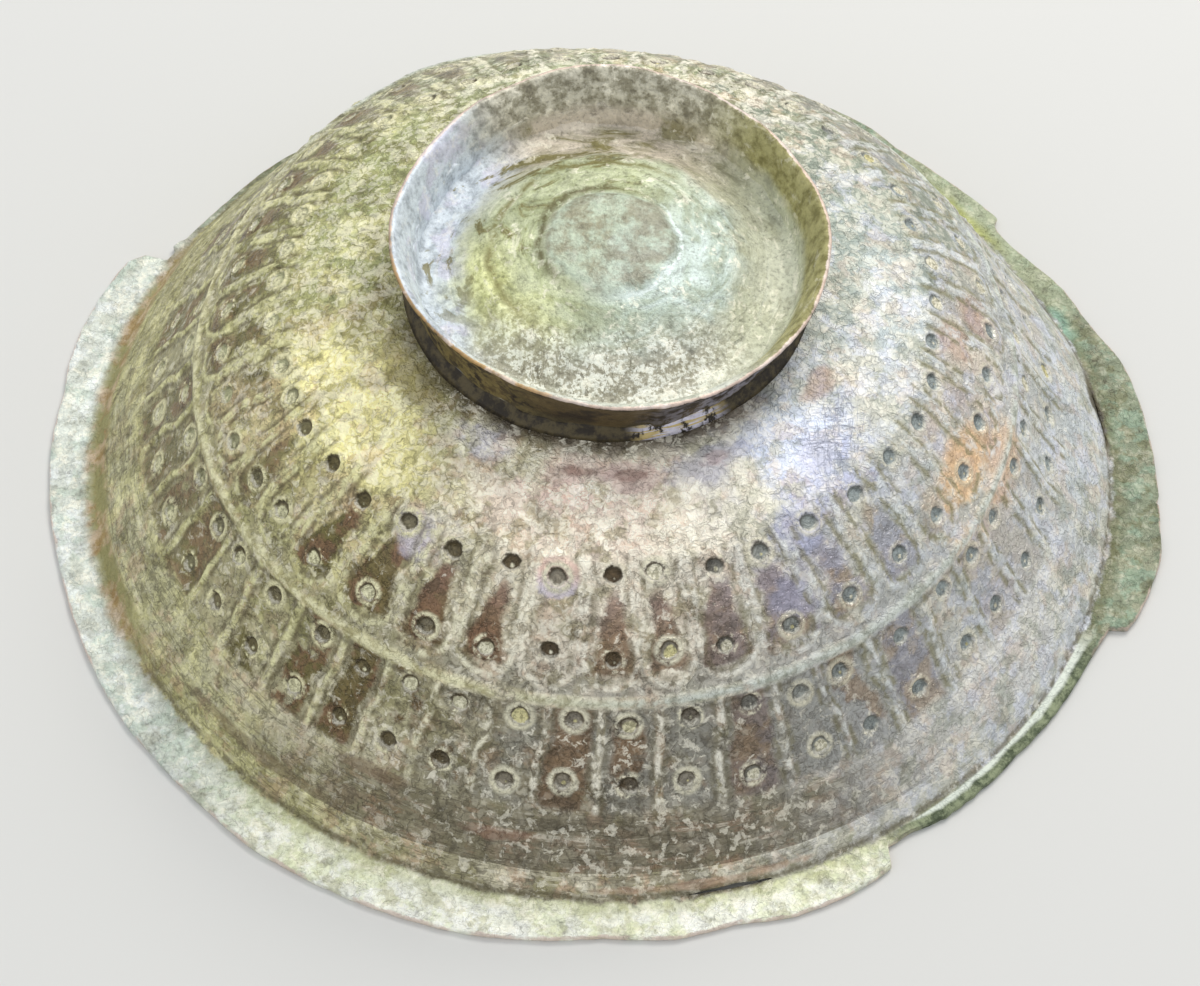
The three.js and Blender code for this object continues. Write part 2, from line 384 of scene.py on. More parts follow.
def through(points, step):
    """Smooth path through points, in short straight steps."""
    path = [points[0]]
    for i in range(len(points) - 1):
        before, start, end, after = (points[max(0, i - 1)], points[i], points[i + 1],
                                     points[min(len(points) - 1, i + 2)])
        steps = max(2, round(math.dist(start, end) / step))
        for k in range(1, steps + 1):
            t = k / steps
            path.append(tuple(
                ((2 * t**3 - 3 * t**2 + 1) * start[c] + (t**3 - 2 * t**2 + t) * (end[c] - before[c]) / 2
                 + (3 * t**2 - 2 * t**3) * end[c] + (t**3 - t**2) * (after[c] - start[c]) / 2)
                for c in (0, 1)))
    return path


class Track:
    """The sheet's outer face as a path of radius and height, measured along from the axis."""

    def __init__(self, points):
        self.points = points
        self.marks = [0.0]
        for a, b in zip(points, points[1:]):
            self.marks.append(self.marks[-1] + math.dist(a, b))
        self.normals = []
        for i in range(len(points)):
            a, b = points[max(0, i - 2)], points[min(len(points) - 1, i + 2)]
            run, rise = b[0] - a[0], b[1] - a[1]
            size = math.hypot(run, rise)
            self.normals.append((-rise / size, run / size))
        self.normals[0] = (0.0, 1.0)

    def at(self, along):
        """Radius, height and the two parts of the outward normal."""
        i = min(len(self.marks) - 2, max(0, bisect.bisect_right(self.marks, along) - 1))
        t = (along - self.marks[i]) / (self.marks[i + 1] - self.marks[i])
        a, b, n, m = self.points[i], self.points[i + 1], self.normals[i], self.normals[i + 1]
        return (a[0] + (b[0] - a[0]) * t, a[1] + (b[1] - a[1]) * t,
                n[0] + (m[0] - n[0]) * t, n[1] + (m[1] - n[1]) * t)

    def along_at(self, radius):
        i = min(len(self.points) - 2, max(0, bisect.bisect_right([p[0] for p in self.points], radius) - 1))
        a, b = self.points[i], self.points[i + 1]
        return self.marks[i] + (radius - a[0]) / (b[0] - a[0]) * (self.marks[i + 1] - self.marks[i])


def sheet_track(sizes):
    seat, height = millimetres(sizes.seat_radius), millimetres(sizes.seat_height)
    crease, rise = millimetres(sizes.crease_radius), millimetres(sizes.crease_height)
    top = millimetres(BODY_BOX[1][2])
    base = [(radius, top - depth) for radius, depth in BASE_SHAPE] + [(seat, height)]
    wall = [(crease - (crease - seat) * across, rise + (height - rise) * up) for across, up in WALL_SHAPE]
    level = millimetres(sizes.sheet)
    flange = [(crease, rise), (crease + SLOPE_RUN, level), (crease + BLANK_RUN, level)]
    return Track(through(base, 0.4) + through(wall[::-1], 0.4)[1:] + flange[1:])


class PunchRow:
    """One row of ring punches. Cells are counted from the one at the front."""

    def __init__(self, track, name, cells, radius, front, struck):
        self.cells = cells
        self.front = front
        gap = struck[0] + 360 - struck[-1]
        spare = cells - len(struck) + 1
        azimuths = struck + [struck[-1] + gap * k / spare for k in range(1, spare)]
        first = min(range(cells), key=lambda k: abs(turned(azimuths[k], front)))
        start = azimuths[first]
        centres = [azimuths[(first + k) % cells] for k in range(cells)]
        self.centres = [front + turned(start, front) + (centre - start) % 360 for centre in centres]
        self.along = track.along_at(radius)
        dice = random.Random(name)
        self.shift = [dice.uniform(-0.9, 0.9) for _ in range(cells)]
        self.fill = [self.filling(dice, centre % 360) for centre in self.centres]

    @staticmethod
    def filling(dice, azimuth):
        """How full of pale crust a pit is; those at the back left are mostly full."""
        chance = 0.75 if 95 < azimuth < 205 else 0.4 if azimuth < 300 else 0.15
        return dice.uniform(0.6, 1.0) if dice.random() < chance else dice.uniform(0.0, 0.25)

    def phase(self, degrees):
        """Cell number at an azimuth; whole at a punch's centre."""
        start = self.centres[0]
        degrees = start + (degrees - start) % 360
        i = bisect.bisect_right(self.centres, degrees) - 1
        end = self.centres[i + 1] if i + 1 < self.cells else start + 360
        return i + (degrees - self.centres[i]) / (end - self.centres[i])

    def stray(self, degrees):
        """How far the cell number is from an even spacing that starts at the front."""
        off = self.phase(degrees) - (degrees - self.front) * self.cells / 360
        return turned(off * 360 / self.cells, 0) * self.cells / 360

    def nearest(self, degrees, along, radius):
        """Place across and down from the nearest punch's centre, and its cell."""
        k = round(self.phase(degrees)) % self.cells
        across = math.radians(turned(degrees, self.centres[k])) * radius
        return across, along - self.along - self.shift[k], k


def flange_reach(degrees):
    """How far the torn edge of the flange stands past the crease."""
    start = FLANGE_EDGE[0][0]
    degrees = start + (degrees - start) % 360
    i = min(len(FLANGE_EDGE) - 2, bisect.bisect_right([station[0] for station in FLANGE_EDGE], degrees) - 1)
    a, b = FLANGE_EDGE[i], FLANGE_EDGE[i + 1]
    reach = a[1] + (b[1] - a[1]) * (degrees - a[0]) / (b[0] - a[0])
    x, y = math.cos(math.radians(degrees)) * 90, math.sin(math.radians(degrees)) * 90
    nibble = 0.25 * abs(rough(x, y, 4.0, 2.2)) + 0.12 * abs(rough(x, y, 9.0, 0.8))
    return max(1.0, reach - 0.05 - nibble * (1.6 if reach < 4.5 else 1.0))


def hammered(x, y, z):
    """Unevenness that the hammer left in the sheet."""
    return 0.38 * rough(x, y, z, 12) + 0.18 * rough(x, y, z, 3.7) + 0.1 * rough(x, y, z, 2.0)


def wall_push(degrees, height):
    total = 0.0
    for azimuth, spread, middle, reach, push in DENTS:
        away = min(1.0, abs(height - middle) / reach)
        total += push * math.cos(away * math.pi / 2) ** 2 * hump(turned(degrees, azimuth), 0, spread)
    return total


class Chasing:
    """The worked relief of the sheet's outer face."""

    def __init__(self, sizes):
        self.sizes = sizes
        self.track = sheet_track(sizes)
        self.rows = [PunchRow(self.track, *row) for row in PUNCH_ROWS]
        self.crease = self.track.along_at(millimetres(sizes.crease_radius))
        self.slot = self.track.along_at(millimetres(sizes.crease_radius) - CRACK_INSET)
        self.seat = self.track.along_at(millimetres(sizes.seat_radius))
        self.ridge = self.track.along_at(millimetres(sizes.ridge_radius))
        self.pit = millimetres(sizes.pit_radius)
        self.depth = millimetres(sizes.pit_depth)
        self.rib = millimetres(sizes.rib_lift)
        self.ridge_lift = millimetres(sizes.ridge_lift)
        marks = [row.along for row in self.rows]
        self.halves = [(marks[0] + marks[1]) / 2, self.ridge, (marks[2] + marks[3]) / 2]

    def row(self, along):
        return self.rows[bisect.bisect_right(self.halves, along)]

    def cell(self, degrees, along, radius):
        """Distance from the middle of a cell, half its width, and how far its number strays from even."""
        inner, outer = self.rows[:2] if along < self.ridge else self.rows[2:]
        share = eased(inner.along + 3, outer.along - 3, along)
        stray = inner.stray(degrees) * (1 - share) + outer.stray(degrees) * share
        number = (degrees - inner.front) * inner.cells / 360 + stray
        beside = abs(number - round(number)) * 2 * math.pi * radius / inner.cells
        return beside, math.pi * radius / inner.cells, stray

    def lift(self, degrees, along, radius, x, y, z):
        """Height of the relief, with the fields that the finish reads."""
        beside, half, stray = self.cell(degrees, along, radius)
        row = self.row(along)
        across, down, k = row.nearest(degrees, along, radius)
        ring = math.hypot(across, down)
        lift = hammered(x, y, z)
        lift += self.bands(along, beside, half, x, y, z)
        lift += self.punch(ring, row.fill[k])
        lift += self.folds(degrees, along)
        lift += self.base(degrees, along)
        return lift, min(ring, NO_RING), (across, down, row.fill[k]), stray

    def bands(self, along, beside, half, x, y, z):
        """Ridge between the bands, ribs and tongues; pillows in the upper band, sunk panels in the lower."""
        a, b, _, d = (row.along for row in self.rows)
        lumps = 0.65 + 0.5 * rough(x, y, z, 1.6)
        ridge = self.ridge_lift * hump(along, self.ridge, 1.0) - 0.18 * hump(along, self.ridge - 2.6, 0.9)
        if along < self.ridge:
            inside = eased(a - 4.0, a - 1.0, along)
            tip = b + 0.5
            edge = half - 0.45
            if along > tip:
                beside = math.hypot(beside, along - tip)
            line = hump(beside, edge, 0.55) * inside * lumps
            pillow = 0.3 * max(0.0, 1 - (beside / edge) ** 2) * inside
            return ridge + self.rib * line + pillow
        inside = eased(d + 5.0, d + 3.0, along)
        line = hump(beside, half, 0.5) * inside * lumps * eased(self.ridge + 0.8, self.ridge + 2.0, along)
        panel = -0.16 * eased(half - 0.4, half - 1.4, beside) * inside
        panel *= eased(self.ridge + 1, self.ridge + 2.4, along)
        return ridge + self.rib * line + panel

    def off_line(self, degrees, along, radius):
        """Distance from the chased line between cells; large outside the bands."""
        beside, half, _ = self.cell(degrees, along, radius)
        if along < self.ridge:
            if along < self.rows[0].along - 2.5:
                return NO_LINE
            if along > self.rows[1].along + 0.5:
                beside = math.hypot(beside, along - self.rows[1].along - 0.5)
            return min(abs(beside - half + 0.45), abs(along - self.ridge) * 0.6)
        return beside - half if along < self.rows[3].along + 4 else NO_LINE

    def punch(self, ring, fill):
        """Pit, raised rim and the shallow ring round it."""
        depth = self.depth * (1 - 0.72 * fill)
        floor = -depth * eased(self.pit + 0.22, self.pit - 0.3, ring)
        return floor + 0.16 * hump(ring, self.pit + 0.5, 0.3) - 0.1 * hump(ring, self.pit + 1.15, 0.3)

    def folds(self, degrees, along):
        """Wrinkles and hammer furrows that run round below the lower band."""
        share = eased(self.rows[3].along + 3, self.rows[3].along + 6, along)
        share *= eased(self.crease + 1.5, self.crease - 1.0, along)
        return share * 0.26 * noise.noise(Vector((degrees / 13, along / 1.9, 3.0)))

    def base(self, degrees, along):
        """Tooled ring and swirl inside the foot."""
        if along > self.seat:
            return 0.0
        ring = self.track.along_at(BASE_RING_RADIUS)
        boss = self.track.along_at(BOSS_RADIUS)
        turn = math.radians(degrees + along * 9)
        swirl = 0.12 * noise.noise(Vector((math.cos(turn) * 1.7, math.sin(turn) * 1.7, along / 4)))
        return (-0.28 * hump(along, ring - 0.7, 0.7) + 0.2 * hump(along, ring + 0.9, 0.9)
                - 0.22 * hump(along, boss + 0.4, 0.6) + swirl * eased(2.0, 7.0, along))


# Meshes

# Place on the sheet's blank: along the wall, shares of the flange and the thickness, shortfall at the edge
BLANK_LAYERS = ("along", "reach", "depth", "short")


def sheet_section(bm, chasing):
    """Section of the sheet: up the outer face, round the flange's edge and back along the inner face."""
    layers = {key: bm.verts.layers.float.new(key) for key in BLANK_LAYERS}
    crease, slot = chasing.crease, chasing.slot
    rows = math.ceil(crease / OUTER_ROW)
    outer = [crease * i / rows for i in range(rows + 1)]
    outer = [mark for mark in outer if abs(mark - slot) > 0.5 or mark == crease] + [slot]
    stations = [(mark, 0.0, 0.0, 0.0) for mark in sorted(outer)]
    stations += [(crease, i / FLANGE_ROWS, 0.0, 0.0) for i in range(1, FLANGE_ROWS)]
    stations += [(crease, 1.0, depth, short) for depth, short in EDGE_SHAPE]
    stations += [(crease, share, 1.0, 0.0) for share in (0.75, 0.5, 0.25)]
    inner = [crease, slot] + [slot * i / INNER_ROWS for i in range(INNER_ROWS - 1, -1, -1)]
    stations += [(mark, 0.0, 1.0, 0.0) for mark in inner]
    made = []
    for station in stations:
        along, reach, depth, _ = station
        radius, height, out, up = chasing.track.at(along + BLANK_RUN * reach)
        vertex = bm.verts.new((max(0.0, radius - out * depth * SHEET), 0, height - up * depth * SHEET))
        for key, value in zip(BLANK_LAYERS, station):
            vertex[layers[key]] = value
        made.append(vertex)
    made[0].co.x = made[-1].co.x = 0.0
    edges = [bm.edges.new(pair) for pair in zip(made, made[1:])]
    return made + edges, layers


def spin_full(bm, geometry, steps):
    bmesh.ops.spin(bm, geom=geometry, cent=(0, 0, 0), axis=(0, 0, 1), angle=2 * math.pi, steps=steps,
                   use_merge=True, use_normal_flip=False, use_duplicate=False)
    bmesh.ops.remove_doubles(bm, verts=bm.verts, dist=1e-4)
    bmesh.ops.recalc_face_normals(bm, faces=bm.faces)


def refine(bm, chosen):
    edges = [edge for edge in bm.edges if chosen(edge)]
    bmesh.ops.subdivide_edges(bm, edges=edges, cuts=1, use_grid_fill=True, use_single_edge=True)


def store(bm, name, materials):
    mesh = bpy.data.meshes.new(name)
    bm.to_mesh(mesh)
    bm.free()
    mesh.shade_smooth()
    piece = bpy.data.objects.new(name, mesh)
    for material in materials:
        mesh.materials.append(material)
    bpy.context.scene.collection.objects.link(piece)
    return piece


def azimuth(point):
    return math.degrees(math.atan2(point.y, point.x))


def placed(radius, degrees, height):
    """Point at a radius and an azimuth, in metres."""
    turn = math.radians(degrees)
    return Vector((radius * math.cos(turn), radius * math.sin(turn), height)) * MM


def refine_chasing(bm, chasing, layers, punch_reach, rib_reach):
    """Halve the edges near the punches and near the lines between tongues."""
    def chosen(edge):
        first, second = edge.verts
        if any(vertex[layers[key]] for vertex in edge.verts for key in ("depth", "reach")):
            return False
        along = (first[layers["along"]] + second[layers["along"]]) / 2
        middle = (first.co + second.co) / 2
        degrees, radius = azimuth(middle), math.hypot(middle.x, middle.y)
        across, down, _ = chasing.row(along).nearest(degrees, along, radius)
        if math.hypot(across, down) < punch_reach:
            return True
        return rib_reach > 0 and abs(chasing.off_line(degrees, along, radius)) < rib_reach
    refine(bm, chosen)


def refine_tears(bm, layers):
    """Halve the edges of the flange where its torn outline steps."""
    def chosen(edge):
        first, second = edge.verts
        if not (first[layers["reach"]] and second[layers["reach"]]):
            return False
        if abs(first[layers["reach"]] - second[layers["reach"]]) > 0.01:
            return False
        return abs(flange_reach(azimuth(first.co)) - flange_reach(azimuth(second.co))) > TEAR_STEP
    refine(bm, chosen)


def open_cracks(bm, chasing, layers):
    """Take out the faces where the crease has opened and join the outer side to the inner."""
    for start, end, _ in CREASE_CRACKS:
        doomed = []
        for face in bm.faces:
            marks = [vertex[layers["along"]] for vertex in face.verts]
            if max(vertex[layers["reach"]] for vertex in face.verts) > 0:
                continue
            if min(marks) < chasing.slot - 0.01 or max(marks) < chasing.crease - 0.01:
                continue
            middle = azimuth(face.calc_center_median())
            if abs(turned(middle, (start + end) / 2)) < (end - start) / 2:
                doomed.append(face)
        loops = {edge for face in doomed for edge in face.edges
                 if sum(other in doomed for other in edge.link_faces) == 1}
        bmesh.ops.delete(bm, geom=doomed, context="FACES")
        bmesh.ops.bridge_loops(bm, edges=[edge for edge in loops if edge.is_valid])


def shape_sheet(bm, chasing, layers):
    """Carry every vertex of the blank to its place on the chased, dented and torn sheet."""
    mark, ring_field = (bm.verts.layers.float.new(key) for key in ("mark", "ring"))
    punch_field, field = (bm.verts.layers.float_vector.new(key) for key in ("punch", "field"))
    track, sheet, crease = chasing.track, millimetres(chasing.sizes.sheet), chasing.crease
    for vertex in bm.verts:
        degrees = azimuth(vertex.co)
        along, reach, depth = (vertex[layers[key]] for key in ("along", "reach", "depth"))
        edge = flange_reach(degrees)
        if reach:
            along = crease + reach * edge - vertex[layers["short"]]
        elif abs(along - chasing.slot) < 0.01:
            for start, end, width in CREASE_CRACKS:
                off = turned(degrees, (start + end) / 2) / ((end - start) / 2)
                if abs(off) <= 1.001:
                    ragged = 0.8 + 0.4 * rough(degrees, 0, 0, 2)
                    along = crease - width * (0.25 + 0.75 * (1 - off * off)) * ragged
        radius, height, out, up = track.at(along)
        turn = math.radians(degrees)
        x, y = radius * math.cos(turn), radius * math.sin(turn)
        lift, ring, punch, stray = chasing.lift(degrees, along, radius, x, y, height)
        if along > crease:
            lift *= FLANGE_RELIEF
        inner = 0.5 * min(0.4, max(-0.4, lift)) if along < crease - 3 else 0.0
        offset = lift * (1 - depth) + (inner - sheet) * depth
        push = wall_push(degrees, height) if radius > 1 else 0.0
        radius += out * offset + push
        height = max(0.0, height + up * offset)
        vertex[mark] = along
        vertex[ring_field] = ring if depth == 0 else NO_RING
        vertex[punch_field] = punch
        vertex[field] = (stray, crease + edge - along, 0.0)
        vertex.co = placed(radius, degrees, height)


def choose_finishes(bm, chasing):
    """The wall has the first finish; the rim past the last furrows has the second, the base the third."""
    mark = bm.verts.layers.float["mark"]
    base, rim = chasing.track.along_at(ROOT_RADIUS - 0.2), chasing.crease - RIM_START
    for face in bm.faces:
        middle = sum(vertex[mark] for vertex in face.verts) / len(face.verts)
        face.material_index = 1 if middle > rim else 2 if middle < base else 0


def bowl_mesh(chasing, materials):
    bm = bmesh.new()
    geometry, layers = sheet_section(bm, chasing)
    spin_full(bm, geometry, chasing.sizes.segments)
    open_cracks(bm, chasing, layers)
    refine_chasing(bm, chasing, layers, punch_reach=2.9, rib_reach=0.85)
    refine_chasing(bm, chasing, layers, punch_reach=2.15, rib_reach=0.0)
    for _ in range(TEAR_ROUNDS):
        refine_tears(bm, layers)
    shape_sheet(bm, chasing, layers)
    choose_finishes(bm, chasing)
    for key in BLANK_LAYERS:
        bm.verts.layers.float.remove(bm.verts.layers.float[key])
    return store(bm, "bowl_sheet", materials)


def foot_push(degrees, height, sizes):
    """How far the foot is pushed out of round at a height."""
    share = min(1.0, max(0.0, (height - ROOT_HEIGHT) / millimetres(sizes.height)))
    return share * sum(
        size * math.cos(math.radians(lobes * (degrees - peak))) for lobes, size, peak in FOOT_LOBES)


def foot_bend(sizes, share):
    """How far the strip has flared at a share of its height."""
    flare = millimetres(sizes.edge_radius) - ROOT_RADIUS
    return flare * (FLARE_START * share + (1 - FLARE_START) * share**2)


def foot_section(sizes, root):
    """Outer side of the foot to its free edge, then the inner side back: radius, height, wear, inside."""
    strip = millimetres(sizes.strip)
    top = millimetres(FOOT_BOX[1][2])
    shares = [i / 14 for i in range(15)]

    def side(inset, low):
        return [(ROOT_RADIUS - inset + foot_bend(sizes, share), low + (top - LIP_DROP - low) * share,
                 0.0, 1.0 if inset else 0.0) for share in shares]

    outer, inner = side(0.0, root[0]), side(strip, root[1])
    lip = [(outer[-1][0] + 0.02, top - 0.2, 0.75, 0.0), (outer[-1][0] - 0.12, top - 0.03, 1.0, 0.3),
           (outer[-1][0] - 0.36, top, 0.8, 0.8), (inner[-1][0] + 0.5, top - 0.04, 0.35, 1.0),
           (inner[-1][0] + 0.2, top - 0.17, 0.1, 1.0)]
    return outer + lip + inner[::-1]


def foot_mesh(sizes, body, material):
    track = sheet_track(body)
    seat = [track.at(track.along_at(radius))[1] + FOOT_CLEARANCE for radius in (ROOT_RADIUS, LINING_RADIUS)]
    bm = bmesh.new()
    worn, lining = bm.verts.layers.float.new("worn"), bm.verts.layers.float.new("inside")
    made = []
    for radius, height, share, side in foot_section(sizes, seat):
        vertex = bm.verts.new((radius, 0, height))
        vertex[worn], vertex[lining] = share, side
        made.append(vertex)
    edges = [bm.edges.new(pair) for pair in zip(made, made[1:] + made[:1])]
    spin_full(bm, made + edges, sizes.segments)
    top = millimetres(FOOT_BOX[1][2])
    for vertex in bm.verts:
        x, y, height = vertex.co
        degrees, radius = azimuth(vertex.co), math.hypot(x, y)
        share = (height - FOOT_LOW) / FOOT_RISE
        radius += foot_push(degrees, height, sizes)
        radius += share * (0.3 * rough(x, y, height, 9) + 0.06 * rough(x, y, height, 2.5))
        lap = turned(degrees, LAP_AZIMUTH)
        if not vertex[lining] and 0 < lap < LAP_LENGTH:
            radius += millimetres(sizes.lap_step) * (1 - eased(2, LAP_LENGTH, lap)) * (1 - share * 0.6)
        if share > 0.9:
            height -= 0.3 + 0.3 * rough(x, y, 3, 8) + 0.1 * rough(x, y, 8, 1.6)
        vertex.co = placed(radius, degrees, min(height, top))
    return store(bm, "foot_strip", [material])


def solder_mesh(sizes, body, material):
    """The seam: a bed under the root, a small fillet outside and a wide hollow one over the base."""
    track = sheet_track(body)
    out, back, rise = (
        millimetres(size) for size in (sizes.solder_outside, sizes.solder_inside, sizes.solder_rise))
    wall = LINING_RADIUS + foot_bend(sizes, rise / millimetres(sizes.height))
    hollow = [(math.cos(math.radians(turn)), math.sin(math.radians(turn))) for turn in range(90, -1, -9)]
    marks = [(wall - (wall - SOLDER_BED + back) * (1 - across) ** 1.25,
              0.12 + (rise * (1 - up) - 0.3 * (1 - across) ** 4)) for across, up in hollow]
    marks += [(radius, 0.12 + lift) for radius, lift in (
        (wall + 0.35, rise + 0.4), (30.9, 1.3), (ROOT_RADIUS, 1.9), (31.85, 1.7),
        (SOLDER_EDGE + out * 0.3, 1.1), (SOLDER_EDGE + out * 0.7, 0.45), (SOLDER_EDGE + out, 0.0))]
    marks += [(SOLDER_EDGE, -0.25), (SOLDER_BED, -0.25)]
    bm = bmesh.new()
    made = [bm.verts.new((radius, 0, track.at(track.along_at(radius))[1] + lift)) for radius, lift in marks]
    edges = [bm.edges.new(pair) for pair in zip(made, made[1:] + made[:1])]
    spin_full(bm, made + edges, sizes.segments)
    for vertex in bm.verts:
        x, y, height = vertex.co
        degrees, radius = azimuth(vertex.co), math.hypot(x, y)
        base = track.at(track.along_at(radius))[1]
        lumps = 1 + 0.35 * rough(x, y, height, 3.6) + 0.15 * rough(x, y, height, 1.2)
        height = base + hammered(x, y, base) + (height - base) * (lumps if height > base + 0.13 else 1)
        radius += foot_push(degrees, height, sizes)
        vertex.co = placed(radius, degrees, height)
    return store(bm, "solder_seam", [material])


# Finishes

# Stains on the sheet, the first two also a painted highlight: azimuth, radius, half width in degrees, half
# height in mm, colour, strength
STAINS = [
    # The first two, pale yellow at the left front, are a yellow stain with a painted highlight over it
    (210, 48, 22, 14, 0xFAF0A8, 0.9), (229, 61, 10, 9, 0xE8DFA0, 0.6), (186, 37, 18, 6, 0x8C8A50, 0.6),
    (158, 52, 32, 16, 0xA2A468, 0.55), (240, 37, 8, 4, 0xDCD8E2, 0.75), (240, 54, 7, 4, 0xD6D0D2, 0.6),
    (264, 45, 24, 7, 0xF2DCCC, 0.65), (262, 42, 10, 3, 0xF4D4C6, 0.55), (252, 60, 9, 5, 0xD2C8A4, 0.5),
    (315, 43, 14, 7, 0xDDE5FA, 0.9), (312, 51, 13, 6, 0xC6CAE6, 0.8), (303, 58, 8, 5, 0xB4B2C8, 0.6),
    (338, 66, 12, 9, 0xF2D8B4, 0.8), (347, 60, 15, 9, 0xD6C0AA, 0.5), (3, 60, 12, 10, 0xC0B2A2, 0.5),
    (15, 45, 30, 9, 0xB9C6C6, 0.75), (336, 36, 28, 5, 0xA2AAA4, 0.6), (200, 82, 34, 5, 0xC2BE98, 0.75),
    (40, 56, 34, 24, 0x868E7E, 0.85), (318, 80, 24, 7, 0xD6D4CE, 0.75), (1, 79, 16, 9, 0xC4CACC, 0.8),
    (232, 77, 18, 8, 0xE8E0BE, 0.75), (201, 61, 12, 8, 0xD2BA92, 0.6), (148, 42, 40, 11, 0xA4A974, 0.85),
    (222, 58, 6, 6, 0xCBAE94, 0.5), (12, 38, 30, 5, 0x8F9A8C, 0.6),
]

# Small coloured marks on the sheet, over the crust; one is painted shade under the foot
MARKS = [
    (264, 38.3, 9, 3.0, 0xE0BEB4, 0.5), (277, 38.9, 8, 2.8, 0xDCBAB4, 0.5),
    (294, 39.3, 10, 3.2, 0xC4C2D6, 0.5), (264.5, 38.3, 4.5, 1.1, 0x84564A, 0.6),
    (276.5, 38.8, 4, 1.0, 0x8C6256, 0.5), (296, 38.8, 4, 1.2, 0xB08A84, 0.4),
    (304, 53.4, 5, 4, 0xAEB3D4, 0.5), (299.5, 61.2, 4, 4, 0xACACC4, 0.45),
    (317, 46, 5, 3, 0xE6E6F8, 0.6), (259.5, 81.4, 4.5, 1.3, 0x94705A, 0.55),
    (243, 79, 5, 1.5, 0x7E644A, 0.5), (4, 61, 4, 5, 0xBA8C6C, 0.45), (356, 57, 4, 4, 0xBC8E72, 0.4),
    (337, 63, 8, 5, 0xF2C48C, 0.65), (344, 68, 7, 5, 0xE8B988, 0.5), (282, 86.2, 12, 0.9, 0xC4A086, 0.5),
    (330, 39.3, 7, 2.2, 0xB88C76, 0.5), (212, 37, 14, 3, 0xA09258, 0.6),
    # The first mark here, dark at the left front by the foot's root, is painted shade under the foot's flare
    (208, 33.4, 17, 3, 0x5E5430, 0.45), (238, 54.5, 3.5, 3.5, 0xDCD4E0, 0.6),
    (229, 84, 12, 1.2, 0x7C6A4C, 0.5), (10, 87.2, 3, 2.2, 0x55461F, 0.8),
    (5, 88, 2.5, 1.6, 0x4A3D1E, 0.8), (40.5, 90, 3, 2.2, 0xC6C46C, 0.7),
]


